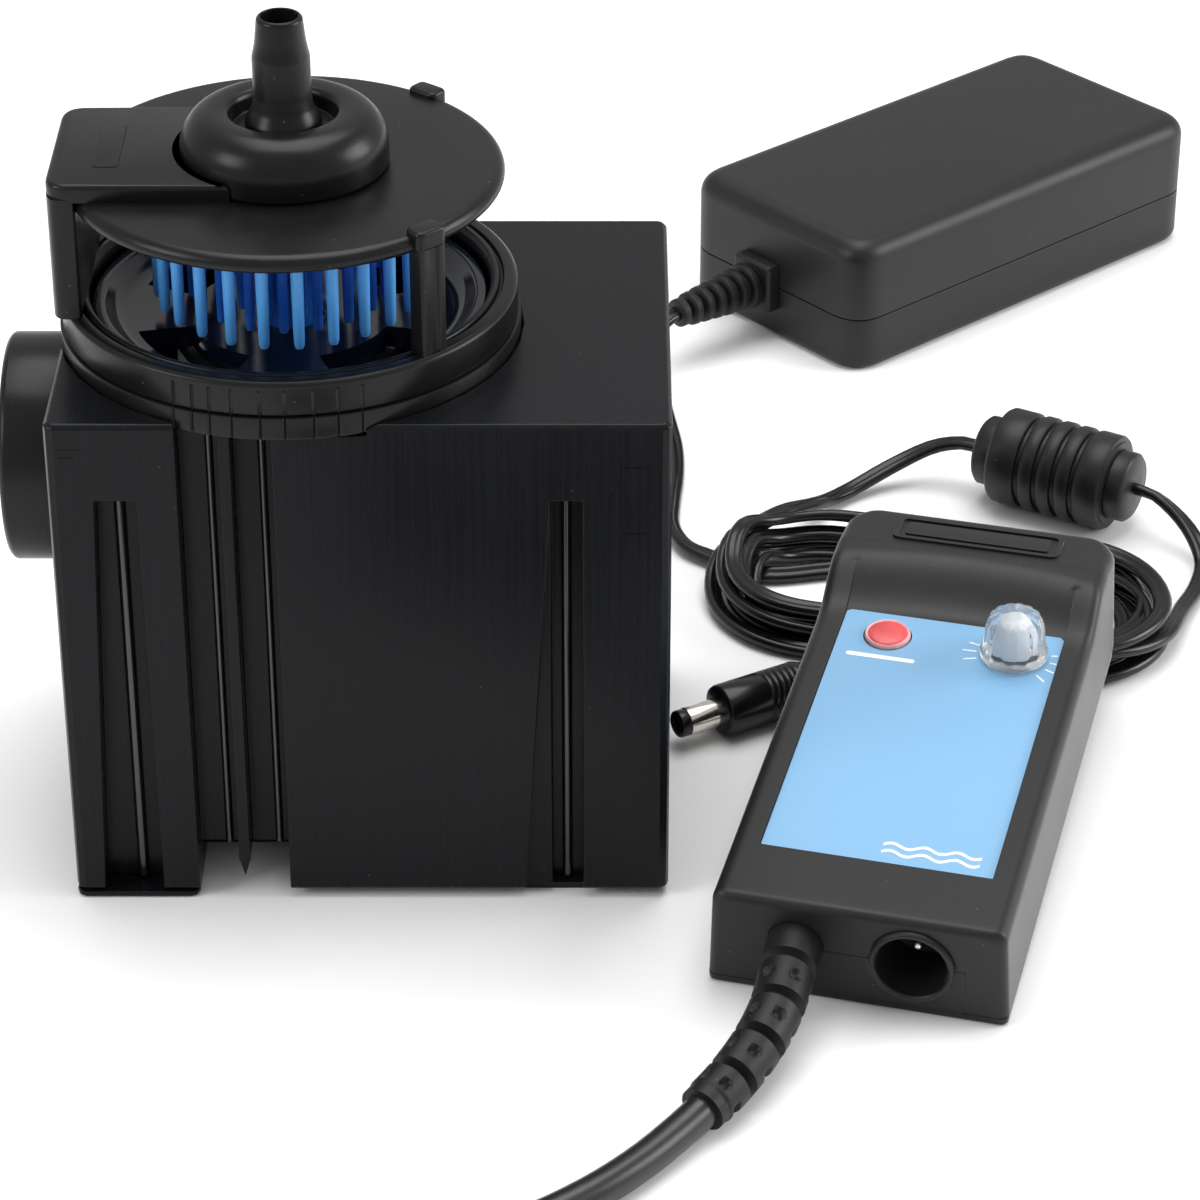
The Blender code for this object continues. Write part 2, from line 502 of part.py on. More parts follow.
def controller_face(case):
    label_low, label_top = CASE_FACE - 0.7, CASE_FACE - 0.1
    plan = rounded(-LABEL_HALF, LABEL_HALF, FACE_START, FACE_END, 1.0, 2)
    label = add("controller_label", prism(plan, label_low, label_top), "label_film", case)
    well = [(0, 0), (BUTTON_RADIUS + GAP, 18), (BUTTON_RADIUS + GAP, 22), (0, 0)]
    stem = [(0, 0), (3.4, 18), (3.4, 22), (0, 0)]
    combine(label, merged(turned(well, 24, BUTTON_AT), turned(stem, 20, KNOB_AT)))
    button = [
        (0, 0), (BUTTON_RADIUS, 15.6), (BUTTON_RADIUS, 20.0), (BUTTON_RADIUS - 0.7, 20.4), (2.0, 20.6), (0, 0),
    ]
    add("timer_button", turned(button, 24, BUTTON_AT), "button_plastic", case, (*BUTTON_AT, 15.6))
    base = label_top + GAP
    knob = [
        (0, 0), (2.9, 13.0), (2.9, base), (KNOB_RADIUS, base), (KNOB_RADIUS, base + 1.2), (5.6, base + 1.6),
        (5.4, base + 5.6), (4.6, base + 7.6), (2.6, base + 8.8), (0, 0),
    ]
    add("speed_knob", turned(knob, 24, KNOB_AT), "knob_plastic", case, (*KNOB_AT, base))


def controller_inside(case):
    add("controller_board", box(-20.8, 20.8, 24.0, 98.0, 9.0, 10.6), "board", case)
    x, y = BUTTON_AT
    add("button_switch", box(x - 3, x + 3, y - 3, y + 3, 10.9, 14.5), "case_plastic", case)
    pot = [(0, 0), (7.6, 10.9), (7.6, 17.0), (3.2, 17.0), (3.2, 12.6), (0, 0)]
    add("potentiometer", turned(pot, 20, KNOB_AT), "steel", case)
    add("motor_driver", box(-14, 2, 36, 52, 10.9, 16.5), "case_plastic", case)
    jack = [
        (0, 0), (JACK_OUTER - 0.6, 14.5), (JACK_OUTER - 0.6, 2.4), (JACK_OUTER, 2.4), (JACK_OUTER, -0.5),
        (JACK_OUTER - 0.5, -1.0), (JACK_BORE + 0.4, -1.0),
        (JACK_BORE, -0.6), (JACK_BORE, 11.0), (2.9, 11.0), (2.9, 13.0), (1.0, 13.0), (1.0, 5.0), (0, 0),
    ]
    barrel = moved(lay_along(turned(jack, 20), "y"), (JACK_AT[0], 0, JACK_AT[1]))
    add("dc_jack", barrel, "case_plastic", case)


def supply_body(supply):
    plan = rounded(0, SUPPLY_LENGTH, 0, SUPPLY_WIDTH, 5.0, 4)
    inside = rounded(2.4, SUPPLY_LENGTH - 2.4, 2.4, SUPPLY_WIDTH - 2.4, 3.0, 2)
    tub = prism(plan, 0.0, SUPPLY_SPLIT - GAP / 2, 2.0, 2, "low")
    lower = add("supply_lower_shell", tub, "case_plastic", supply)
    combine(lower, prism(inside, 2.4, SUPPLY_SPLIT + 1))
    upper = add("supply_upper_shell", prism(plan, SUPPLY_SPLIT + GAP / 2, SUPPLY_HEIGHT, 3.6, 3, "high"),
                "case_plastic", supply)
    combine(upper, prism(inside, SUPPLY_SPLIT - 1, SUPPLY_HEIGHT - 2.6))
    for shell in (lower, upper):
        hole = lay_along(turned([(0, 0), (3.3, -1), (3.3, 4), (0, 0)], 16), "x")
        combine(shell, moved(hole, (0, BOOT_Y, BOOT_Z)))
        x = SUPPLY_LENGTH
        combine(shell, box(x - 4, x + 2, INLET_Y - 12.3, INLET_Y + 12.3, INLET_Z - 8.3, INLET_Z + 8.3))


def supply_boot(supply):
    half = 5.6
    flange = prism([(-half, -half), (half, -half), (half, half), (-half, half)], GAP, 3.2, 0.8, 1, "high")
    obj = add("supply_strain_relief", lay_along(flange, "x"), "rubber", supply)
    ribs = [(0, 0), (3.0, -3.4), (3.0, 1.0), (4.9, 1.0)]
    rib_count, taper = 5, 2.0
    for i in range(rib_count):
        start = 4.6 + i * 4.0
        radius = 4.9 - taper * i / rib_count
        ribs += [(radius, start), (radius - 0.9, start + 0.3)]
        ribs += [(radius - 1.0, start + 1.4), (radius - 0.3, start + 1.7)]
    ribs += [(2.8, BOOT_LENGTH), (0, 0)]
    combine(obj, lay_along(turned(ribs, 12), "x"), "UNION")
    obj.rotation_euler = Euler((0, 0, math.pi))
    obj.location = Vector((0, BOOT_Y, BOOT_Z)) * MM


def supply_inside(supply):
    add("supply_board", box(8, 88, 6, 48, 5.0, 6.6), "board", supply)
    add("supply_transformer", box(34, 58, 16, 38, 6.9, 24.0), "copper", supply)
    can = turned([(0, 0), (6.5, 6.9), (6.5, 25.0), (0, 0)], 20, (74, 16))
    add("supply_capacitor", can, "case_plastic", supply)
    sink = add("supply_heat_sink", box(14, 24, 10, 44, 6.9, 24.0), "steel", supply)
    combine(sink, merged(*[box(16.5, 25, y, y + 2.4, 8, 25) for y in (13, 18, 23, 28, 33, 38)]))


def mains_inlet(supply):
    """A two-pin inlet: a figure-eight mouth in a block that fills the end wall."""
    x = SUPPLY_LENGTH
    body = box(x - 14, x - 0.4, INLET_Y - 12, INLET_Y + 12, INLET_Z - 8, INLET_Z + 8)
    obj = add("mains_inlet", body, "case_plastic", supply)
    mouth = lay_along(prism(rounded(-4.4, 4.4, -8.8, 8.8, 4.3, 4), x - 11, x + 1), "x")
    combine(obj, moved(mouth, (0, INLET_Y, INLET_Z)))
    for i, side in enumerate((-4.3, 4.3), 1):
        pin = lay_along(turned([(0, 0), (1.2, x - 10.7), (1.2, x - 2.4), (0.7, x - 1.8), (0, 0)], 12), "x")
        add(f"inlet_pin_{i}", moved(pin, (0, INLET_Y + side, INLET_Z)), "nickel", supply)


def lead_pieces():
    """Hank, choke and plug of the low-voltage lead."""
    hank = frame("hank_place", (*HANK_CENTRE, 0.0), 0.0, HANK_YAW)
    outline = arc((HANK_HALF, 0), HANK_RADIUS, -90, 90, 12) + arc((-HANK_HALF, 0), HANK_RADIUS, 90, 270, 12)
    add("dc_hank", prism(outline, 0.0, HANK_HEIGHT, 1.5, 1), "cord_pvc", hank)
    choke = frame("choke_place", (*CHOKE_CENTRE, CHOKE_RADIUS + 0.2), 0.0, CHOKE_YAW)
    half, collar = CHOKE_LENGTH / 2, CHOKE_RADIUS - 2.6
    barrel = [
        (0, 0), (5.2, -half), (collar, -half + 0.8), (collar, -half + 4.0), (CHOKE_RADIUS - 0.6, -half + 4.2),
        (CHOKE_RADIUS, -half + 5.4), (CHOKE_RADIUS, half - 5.4), (CHOKE_RADIUS - 0.6, half - 4.2),
        (collar, half - 4.0), (collar, half - 0.8), (5.2, half), (0, 0),
    ]
    add("ferrite_choke", lay_along(turned(barrel, 20), "x"), "case_plastic", choke)
    plug = frame("plug_place", (*PLUG_TIP, PLUG_RADIUS), 0.0, PLUG_YAW)
    metal = [(1.25, 0.8), (1.25, 0.0), (2.4, 0.0), (2.75, 0.4), (2.75, BARREL_LENGTH), (1.25, BARREL_LENGTH)]
    add("dc_plug_barrel", lay_along(turned(metal, 20), "x"), "nickel", plug)
    body = BARREL_LENGTH + GAP
    moulding = [(0, 0), (4.2, body), (PLUG_RADIUS, body + 0.9), (PLUG_RADIUS, 26.0), (4.4, 27.0), (4.2, 33.0),
                (3.3, PLUG_LENGTH), (0, 0)]
    add("dc_plug_body", lay_along(turned(moulding, 24), "x"), "cord_pvc", plug)


def lead_tubes():
    routes = {"dc_cord_head": LEAD_HEAD, "dc_cord_to_choke": LEAD_TO_CHOKE, "dc_cord_from_choke": LEAD_FROM_CHOKE,
              "dc_cord_tail": LEAD_TAIL}
    for name, route in routes.items():
        tube(name, smooth_route(route, 5.0 * LEAD_RADIUS if len(route) > 4 else 1.5 * LEAD_RADIUS),
             LEAD_RADIUS, "cord_pvc")


def motor_lead():
    points = smooth_route(RELIEF_ROUTE, 2.9)
    shares = [0.8 if i == 0 else 1.0 - 0.18 * i / len(points) for i in range(len(points))]
    tube("controller_strain_relief", points, 4.9, "rubber", 3, shares)
    tube("motor_cable", smooth_route(MOTOR_CABLE, 4.0 * CABLE_RADIUS), CABLE_RADIUS, "cord_pvc", 3)
    ring = [(COIL_INNER, 0.0), (COIL_OUTER, 0.0), (COIL_OUTER, COIL_HEIGHT), (COIL_INNER, COIL_HEIGHT)]
    coil = frame("coil_place", (*COIL_CENTRE, 0.0))
    add("motor_cable_coil", turned(ring, 36), "cord_pvc", coil)
    rear = Vector((*CONNECTOR_REAR, CONNECTOR_RADIUS))
    ends = [rear - Vector((6.8, 0, 0.8)), rear - Vector((3.4, 0, 0)), rear - Vector((GAP, 0, 0))]
    tube("motor_cable_end", ends, CABLE_RADIUS, "cord_pvc", 3)
    socket = frame("connector_place", rear)
    body = [(0, 0), (3.6, 0.0), (4.6, 8.0), (CONNECTOR_RADIUS, 9.0), (CONNECTOR_RADIUS, CONNECTOR_LENGTH - 0.6),
            (CONNECTOR_RADIUS - 0.6, CONNECTOR_LENGTH), (5.2, CONNECTOR_LENGTH), (5.2, CONNECTOR_LENGTH - 9.0), (0, 0)]
    add("motor_connector", lay_along(turned(body, 24), "x"), "rubber", socket)


def main():
    clear_scene()
    pump = frame("pump_place")
    block_housing(pump)
    block_base(pump)
    outlet(pump)
    motor(pump)
    volute_floor(pump)
    rotor(pump)
    cage(pump)
    air_cap(pump)
    case = frame("controller_place", CASE_PLACE, CASE_TILT, CASE_YAW)
    controller_shells(case)
    controller_face(case)
    controller_inside(case)
    supply = frame("supply_place", SUPPLY_PLACE, 0.0, SUPPLY_YAW)
    supply_body(supply)
    supply_boot(supply)
    supply_inside(supply)
    mains_inlet(supply)
    lead_pieces()
    lead_tubes()
    motor_lead()


main()
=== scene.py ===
"""An aquarium foaming-pump kit: pump block with needle wheel and cage, controller, table-top supply and leads."""
import json
import math

import bmesh
import bpy
import numpy as np
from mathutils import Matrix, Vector


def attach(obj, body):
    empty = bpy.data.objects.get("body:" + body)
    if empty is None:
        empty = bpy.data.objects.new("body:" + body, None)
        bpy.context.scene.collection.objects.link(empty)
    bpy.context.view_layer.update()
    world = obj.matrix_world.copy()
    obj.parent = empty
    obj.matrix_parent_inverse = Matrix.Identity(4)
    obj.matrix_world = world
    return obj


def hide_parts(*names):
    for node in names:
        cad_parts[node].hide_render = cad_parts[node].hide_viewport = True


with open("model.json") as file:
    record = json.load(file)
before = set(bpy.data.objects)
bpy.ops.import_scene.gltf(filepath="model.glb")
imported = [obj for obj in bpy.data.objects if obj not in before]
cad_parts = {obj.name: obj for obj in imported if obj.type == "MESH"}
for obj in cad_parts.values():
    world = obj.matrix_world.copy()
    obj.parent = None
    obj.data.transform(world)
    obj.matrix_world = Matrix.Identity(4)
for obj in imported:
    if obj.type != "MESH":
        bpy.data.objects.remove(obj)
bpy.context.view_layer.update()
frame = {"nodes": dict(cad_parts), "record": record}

MM = 0.001


# ---------------------------------------------------------------- places of the loose units, in millimetres
def unit(origin=(0, 0, 0), yaw=0.0, tilt=0.0):
    """The 4x4 that takes millimetres drawn on a unit to the shared frame's metres: tilt about x, turn about z,
    then shift."""
    y, t = math.radians(yaw), math.radians(tilt)
    turn = np.array([[math.cos(y), -math.sin(y), 0], [math.sin(y), math.cos(y), 0], [0, 0, 1]])
    lean = np.array([[1, 0, 0], [0, math.cos(t), -math.sin(t)], [0, math.sin(t), math.cos(t)]])
    whole = np.eye(4)
    whole[:3, :3] = turn @ lean
    whole[:3, 3] = origin
    return whole


PUMP = unit()
CASE = unit((96.5, -68.3, 0), -15.2, 5.7)
SUPPLY = unit((108.1, 157.9, 0), 41.2)
LEAD_HOLE = (0, 30.0, 12.4)
BOOT = SUPPLY @ unit(LEAD_HOLE, 180)
HANK = unit((118.7, 59.3, 0), -15.2)
CHOKE = unit((146.0, 100.0, 10.0), -30.0)
PLUG = unit((67.2, 11.5, 5.0), 30.0)
CONNECTOR = unit((68.0, -217.0, 6.5))
COIL_CENTRE = (38.0, -178.0)


# ---------------------------------------------------------------- surfaces
def soft(points, radius, closed=True, steps=4):
    """A polyline with eased corners: each corner P gives way to (1-t)^2 A + 2t(1-t) P + t^2 B, where A and B lie
    up to a radius away along its two sides."""
    p = np.asarray(points, float)
    reach = np.broadcast_to(np.asarray(radius, float).reshape(-1, 1), (len(p), 1))

    def towards(other):
        side = other - p
        length = np.maximum(np.linalg.norm(side, axis=1, keepdims=True), 1e-9)
        return p + side / length * np.minimum(reach, 0.48 * length)

    a, b = towards(np.roll(p, 1, 0))[:, None], towards(np.roll(p, -1, 0))[:, None]
    t = np.linspace(0, 1, steps + 1)[None, :, None]
    eased = (1 - t) ** 2 * a + 2 * t * (1 - t) * p[:, None] + t ** 2 * b
    if closed:
        return eased.reshape(-1, p.shape[1])
    return np.vstack([p[:1], eased[1:-1].reshape(-1, p.shape[1]), p[-1:]])


def skin(rings, closed=False):
    """A closed surface through rows of points: quads between neighbouring rows, each row a loop, and one flat face
    over each end row unless the rows close on themselves."""
    rings = np.asarray(rings, float)
    rows, columns = rings.shape[:2]
    index = np.arange(rows * columns).reshape(rows, columns)
    low, high = (index, np.roll(index, -1, 0)) if closed else (index[:-1], index[1:])
    faces = [np.stack([low, np.roll(low, -1, 1), np.roll(high, -1, 1), high], -1).reshape(-1, 4)]
    if not closed:
        faces += [index[:1, ::-1], index[-1:]]
    return rings.reshape(-1, 3), faces


def joined(*shells):
    """Several surfaces as one."""
    points, faces, start = [], [], 0
    for some, loops in shells:
        points.append(some)
        faces += [block + start for block in loops]
        start += len(some)
    return np.vstack(points), faces


def turned(profile, steps=96, centre=(0.0, 0.0), proud=None):
    """x = r cos a, y = r sin a along a profile of r and z. A profile that starts at r = 0 is a solid; any other is
    a ring. proud gives what to add to r at each angle."""
    profile = np.asarray(profile, float)
    ring = profile[0, 0] > 0
    r, z = (profile if ring else profile[1:-1]).T
    a = np.linspace(0, 2 * np.pi, steps, endpoint=False)
    r = r[:, None] + (0 if proud is None else proud(r[:, None], z[:, None], a[None]))
    r = np.broadcast_to(r, (len(z), steps))
    rings = np.stack([centre[0] + r * np.cos(a), centre[1] + r * np.sin(a), np.repeat(z[:, None], steps, 1)], -1)
    return skin(rings, ring)


def drawn_in(outline, distance):
    """An outline moved inwards, each point along the halved angle of its two sides."""
    p = np.asarray(outline, float)
    side = np.roll(p, -1, 0) - p
    side /= np.maximum(np.linalg.norm(side, axis=1, keepdims=True), 1e-9)
    inward = np.stack([-side[:, 1], side[:, 0]], -1)
    last = np.roll(inward, 1, 0)
    return p + distance * (inward + last) / np.maximum(1 + (inward * last).sum(1, keepdims=True), 0.3)


def plate(outline, low, high, rim_low=0.0, rim_high=0.0, steps=5):
    """A straight-sided solid over a counterclockwise outline; each rim is a quarter round, where the outline draws
    in by r(1 - cos a) as the level rises by r sin a."""
    levels = []
    for a in np.linspace(90, 0, steps) if rim_low else [0]:
        levels.append((low + rim_low * (1 - math.sin(math.radians(a))), rim_low * (1 - math.cos(math.radians(a)))))
    for a in np.linspace(0, 90, steps) if rim_high else [0]:
        levels.append((high - rim_high * (1 - math.sin(math.radians(a))), rim_high * (1 - math.cos(math.radians(a)))))
    return skin([np.c_[drawn_in(outline, inset), np.full(len(outline), z)] for z, inset in levels])


def rounded(x0, x1, y0, y1, radius, steps=8):
    """A counterclockwise rectangle with eased corners; radius may be one for each corner from x0, y0 round."""
    return soft([(x0, y0), (x1, y0), (x1, y1), (x0, y1)], radius, steps=steps)


def lying(shell, axis):
    """A surface made about z, laid so that its axis points along x or y."""
    points, faces = shell
    x, y, z = points.T
    return np.stack([z, y, -x] if axis == "x" else [x, z, -y], -1), faces


def shifted(shell, offset):
    return shell[0] + np.asarray(offset, float), shell[1]


def through(route, spacing):
    """Evenly spaced points on the Catmull-Rom curve through a route."""
    p = np.asarray(route, float)
    p = np.vstack([2 * p[0] - p[1], p, 2 * p[-1] - p[-2]])
    a, b, c, d = p[:-3, None], p[1:-2, None], p[2:-1, None], p[3:, None]
    t = np.linspace(0, 1, 16, endpoint=False)[None, :, None]
    dense = 0.5 * (2 * b + (c - a) * t + (2 * a - 5 * b + 4 * c - d) * t ** 2 + (3 * b - a - 3 * c + d) * t ** 3)
    dense = np.vstack([dense.reshape(-1, 3), p[-2:-1]])
    along = np.r_[0, np.cumsum(np.linalg.norm(np.diff(dense, axis=0), axis=1))]
    even = np.linspace(0, along[-1], max(4, int(along[-1] / spacing)) + 1)
    return np.stack([np.interp(even, along, dense[:, i]) for i in range(3)], -1)


def swept(path, section, share=1.0, roll=0.0):
    """A section carried along a path: path + side u + up v, where side is level and square to the path, up is
    square to both, and roll turns the section about the path. share scales it, row by row and round it."""
    ahead = np.gradient(path, axis=0)
    ahead /= np.linalg.norm(ahead, axis=1, keepdims=True)
    side = np.cross(ahead, (0, 0, 1))
    side /= np.linalg.norm(side, axis=1, keepdims=True)
    up = np.cross(side, ahead)
    u, v = np.asarray(section, float).T
    roll = np.broadcast_to(np.asarray(roll, float), len(path))[:, None]
    across = (np.cos(roll) * u - np.sin(roll) * v) * share
    over = (np.sin(roll) * u + np.cos(roll) * v) * share
    return skin(path[:, None] + side[:, None] * across[..., None] + up[:, None] * over[..., None])


def circle(radius, steps=24):
    a = np.linspace(0, 2 * np.pi, steps, endpoint=False)
    return np.stack([radius * np.cos(a), radius * np.sin(a)], -1)


def in_frame(points, place=PUMP):
    """Millimetres on a unit to millimetres in the shared frame."""
    return (np.c_[points, np.ones(len(points))] @ place.T)[:, :3]


def mesh_object(name, shell, place):
    points, faces = shell
    mesh = bpy.data.meshes.new(name)
    mesh.from_pydata((in_frame(points, place) * MM).tolist(), [], [f for block in faces for f in block.tolist()])
    bm = bmesh.new()
    bm.from_mesh(mesh)
    bmesh.ops.recalc_face_normals(bm, faces=bm.faces)
    bm.to_mesh(mesh)
    bm.free()
    obj = bpy.data.objects.new(name, mesh)
    bpy.context.scene.collection.objects.link(obj)
    return obj


def shade(obj, edge):
    obj.data.shade_smooth()
    obj.data.set_sharp_from_angle(angle=math.radians(edge))


def belongs(obj, finish, body, stands_for):
    """Gives a piece its finish, its body and the nodes it stands for."""
    obj.data.materials.clear()
    obj.data.materials.append(finish)
    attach(obj, body)
    if stands_for:
        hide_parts(*stands_for)
    return obj


def piece(name, shell, finish, stands_for=(), body="base", place=PUMP, edge=38, cuts=()):
    """A finished piece from a surface drawn on one of the units, less the shells in cuts."""
    obj = mesh_object(name, shell, place)
    for i, cutter in enumerate(cuts):
        tool = mesh_object(f"{name}_cutter_{i}", cutter, place)
        cut = obj.modifiers.new("Cut", "BOOLEAN")
        cut.operation, cut.solver, cut.object = "DIFFERENCE", "EXACT", tool
        made = bpy.data.meshes.new_from_object(obj.evaluated_get(bpy.context.evaluated_depsgraph_get()))
        obj.modifiers.clear()
        obj.data = made
        bpy.data.objects.remove(tool, do_unlink=True)
    shade(obj, edge)
    return belongs(obj, finish, body, stands_for)


def eased_copy(name, node, finish, width, body="base", edge=30):
    """A node's own mesh, merged, its flat triangles joined into faces and its sharp edges rounded off."""
    bm = bmesh.new()
    bm.from_mesh(frame["nodes"][node].data)
    bmesh.ops.remove_doubles(bm, verts=bm.verts, dist=1e-6)
    bmesh.ops.dissolve_limit(bm, angle_limit=math.radians(0.5), verts=bm.verts, edges=bm.edges)
    mesh = bpy.data.meshes.new(name)
    bm.to_mesh(mesh)
    bm.free()
    obj = bpy.data.objects.new(name, mesh)
    bpy.context.scene.collection.objects.link(obj)
    shade(obj, edge)
    rim = obj.modifiers.new("Rim", "BEVEL")
    rim.width, rim.segments, rim.limit_method, rim.angle_limit = width * MM, 3, "ANGLE", math.radians(edge)
    rim.use_clamp_overlap = False
    obj.modifiers.new("Flat", "WEIGHTED_NORMAL").keep_sharp = True
    return belongs(obj, finish, body, [node])


# ---------------------------------------------------------------- finishes
class Value:
    """A number in a material; the operators add Math nodes."""

    def __init__(self, finish, socket):
        self.finish, self.socket = finish, socket

    def maths(self, operation, *values):
        return self.finish.node("ShaderNodeMath", {"operation": operation}, dict(enumerate(values)))

    def __add__(self, other):
        return self.maths("ADD", self, other)

    def __sub__(self, other):
        return self.maths("SUBTRACT", self, other)

    def __rsub__(self, other):
        return self.maths("SUBTRACT", other, self)

    def __mul__(self, other):
        return self.maths("MULTIPLY", self, other)

    def above(self, edge, width):
        """0 below the edge and 1 past it, over a width."""
        ramp = {"clamp": True, "interpolation_type": "SMOOTHSTEP"}
        return self.finish.node("ShaderNodeMapRange", ramp, {0: self, 1: edge, 2: edge + width})

    __radd__, __rmul__ = __add__, __mul__


class Finish:
    """A material of one kind of moulding or metal; constants go on the shader's own sockets."""

    def __init__(self, name, **constants):
        self.material = bpy.data.materials.new(name)
        self.material.use_nodes = True
        self.tree = self.material.node_tree
        self.shader = self.tree.nodes["Principled BSDF"]
        for socket, value in constants.items():
            self.shader.inputs[socket.replace("_", " ")].default_value = value

    def node(self, kind, settings=(), values=(), out=0):
        made = self.tree.nodes.new(kind)
        for key, value in dict(settings).items():
            setattr(made, key, value)
        for key, value in dict(values).items():
            self.plug(made.inputs[key], value)
        return Value(self, made.outputs[out])

    def plug(self, socket, value):
        if isinstance(value, Value):
            self.tree.links.new(value.socket, socket)
        else:
            socket.default_value = value

    def place(self, scale=(1, 1, 1)):
        """Object coordinates in millimetres, times a scale."""
        scale = tuple(1000.0 * s for s in scale)
        where = self.node("ShaderNodeTexCoord", out=3)
        return self.node("ShaderNodeMapping", {}, {"Vector": where, "Scale": scale})

    def noise(self, size, detail=2.0, stretch=(1, 1, 1), rough=0.5):
        """Noise with features of a size in millimetres, drawn out by a stretch on each axis."""
        at = self.place(tuple(1.0 / (size * s) for s in stretch))
        return self.node("ShaderNodeTexNoise", {}, {"Vector": at, "Scale": 1.0, "Detail": detail, "Roughness": rough})

    def cells(self, size):
        """Distance to the nearest of scattered points about a size apart."""
        return self.node("ShaderNodeTexVoronoi", {}, {"Vector": self.place((1 / size,) * 3), "Scale": 1.0})

    def mix(self, factor, first, second):
        values = {0: factor, 6: first if isinstance(first, Value) else (*first, 1),
                  7: second if isinstance(second, Value) else (*second, 1)}
        return self.node("ShaderNodeMix", {"data_type": "RGBA"}, values, out=2)

    def along(self, axis):
        """One object coordinate, in millimetres."""
        return self.node("ShaderNodeSeparateXYZ", {}, {0: self.place()}, out=axis)

    def dress(self, colour, roughness, relief=None, depth=0.02):
        """Feeds the shader; relief is a height that a Bump node reads, depth its full height in millimetres."""
        self.plug(self.shader.inputs["Base Color"], colour)
        self.plug(self.shader.inputs["Roughness"], roughness)
        if relief is not None:
            bump = self.node("ShaderNodeBump", {}, {"Strength": 1.0, "Distance": depth * MM, "Height": relief})
            self.plug(self.shader.inputs["Normal"], bump)
        return self.material


def times(colour, share):
    return tuple(min(1.0, c * share) for c in colour)


def moulding(name, colour, rough, swing, grain, depth, stretch=(1, 1, 1), flow=14.0, dust=0.0, **constants):
    """Moulded plastic or rubber: slow colour drift, roughness that follows the flow of the melt, a fine grain and
    a few dust specks."""
    made = Finish(name, **constants)
    drift = made.noise(flow, 2, stretch)
    streaks = made.noise(0.5 * flow, 3, stretch, 0.6)
    tint = made.mix(drift, times(colour, 0.75), times(colour, 1.35))
    if dust:
        speck = (1 - made.cells(2.6).above(0.045, 0.02)) * made.noise(9.0, 2).above(0.52, 0.06)
        tint = made.mix(speck * dust, tint, (0.32, 0.32, 0.31))
    fine = made.noise(grain, 2)
    return made.dress(tint, rough + swing * (streaks - 0.5) + 0.1 * swing * (fine - 0.5), fine, depth)


def block_black():
    """Satin black block moulding with upright draw marks."""
    made = Finish("block_black_plastic", Specular_IOR_Level=0.16)
    marks = made.noise(1.3, 3, (0.35, 0.35, 26.0), 0.6)
    drift = made.noise(26.0, 2, (0.8, 0.8, 2.0))
    colour = made.mix(marks, (0.0025, 0.0027, 0.0033), (0.0085, 0.0092, 0.011))
    colour = made.mix(drift * 0.5, colour, (0.006, 0.0068, 0.0085))
    speck = (1 - made.cells(3.4).above(0.035, 0.015)) * made.noise(7.0, 2).above(0.55, 0.05)
    colour = made.mix(speck * 0.4, colour, (0.16, 0.16, 0.16))
    relief = marks + 0.4 * made.noise(0.18, 2)
    return made.dress(colour, 0.27 + 0.16 * (marks - 0.5) + 0.12 * (drift - 0.5), relief, 0.012)


def wheel_blue():
    """Blue plastic with painted shade: light at the outer pins, darker inwards where the moulding shades itself."""
    made = Finish("needle_wheel_blue", Specular_IOR_Level=0.45)
    x, y = made.along(0), made.along(1)
    square = x * x + y * y
    out = square.maths("SQRT", square)
    # painted shade: the blue darkens from the outer pins inwards, towards the shaded middle of the wheel
    colour = made.mix(out.above(18.5, 3.0), (0.010, 0.10, 0.50), (0.10, 0.41, 0.92))
    tips = 1 - made.along(2).above(101.5, 4.0)
    colour = made.mix(tips * 0.25, colour, (0.05, 0.25, 0.72))
    fine = made.noise(0.25, 2)
    return made.dress(colour, 0.36 + 0.12 * (made.noise(5.0, 2) - 0.5), fine, 0.006)


def label_blue():
    """Printed film: pale blue, with the faint weave of the print and a slow drift of tone."""
    made = Finish("label_print_blue", Coat_Weight=0.12, Coat_Roughness=0.25)
    drift = made.noise(30.0, 1)
    weave = made.noise(0.35, 2)
    colour = made.mix(drift, (0.185, 0.395, 0.630), (0.215, 0.435, 0.665))
    colour = made.mix(weave * 0.22, colour, (0.16, 0.37, 0.61))
    return made.dress(colour, 0.42 + 0.1 * (weave - 0.5), weave, 0.008)


def plain_finish(name, dark, light, size, rough, swing, depth, metallic=0.0, stretch=(1, 1, 1), **constants):
    """Metal, ceramic, laminate or lacquer: two tones and a roughness that follow one noise."""
    made = Finish(name, **constants)
    made.shader.inputs["Metallic"].default_value = metallic
    tone = made.noise(size, 3, stretch)
    grain = made.noise(0.3 * size, 2, stretch)
    return made.dress(made.mix(tone, dark, light), rough + swing * (tone - 0.5), grain, depth)


def clear_knob():
    """Clear plastic with a frosted, faintly streaked surface."""
    made = Finish("clear_knob_plastic", Transmission_Weight=0.9, IOR=1.42)
    tone = made.noise(1.6, 3, (1, 1, 3))
    tint = made.mix(tone, (0.9, 0.93, 0.96), (0.98, 0.99, 1.0))
    return made.dress(tint, 0.1 + 0.16 * (tone - 0.4), tone, 0.02)


def mark_white():
    return plain_finish("printed_white", (0.8, 0.83, 0.86), (0.95, 0.96, 0.97), 0.6, 0.5, 0.1, 0.004)


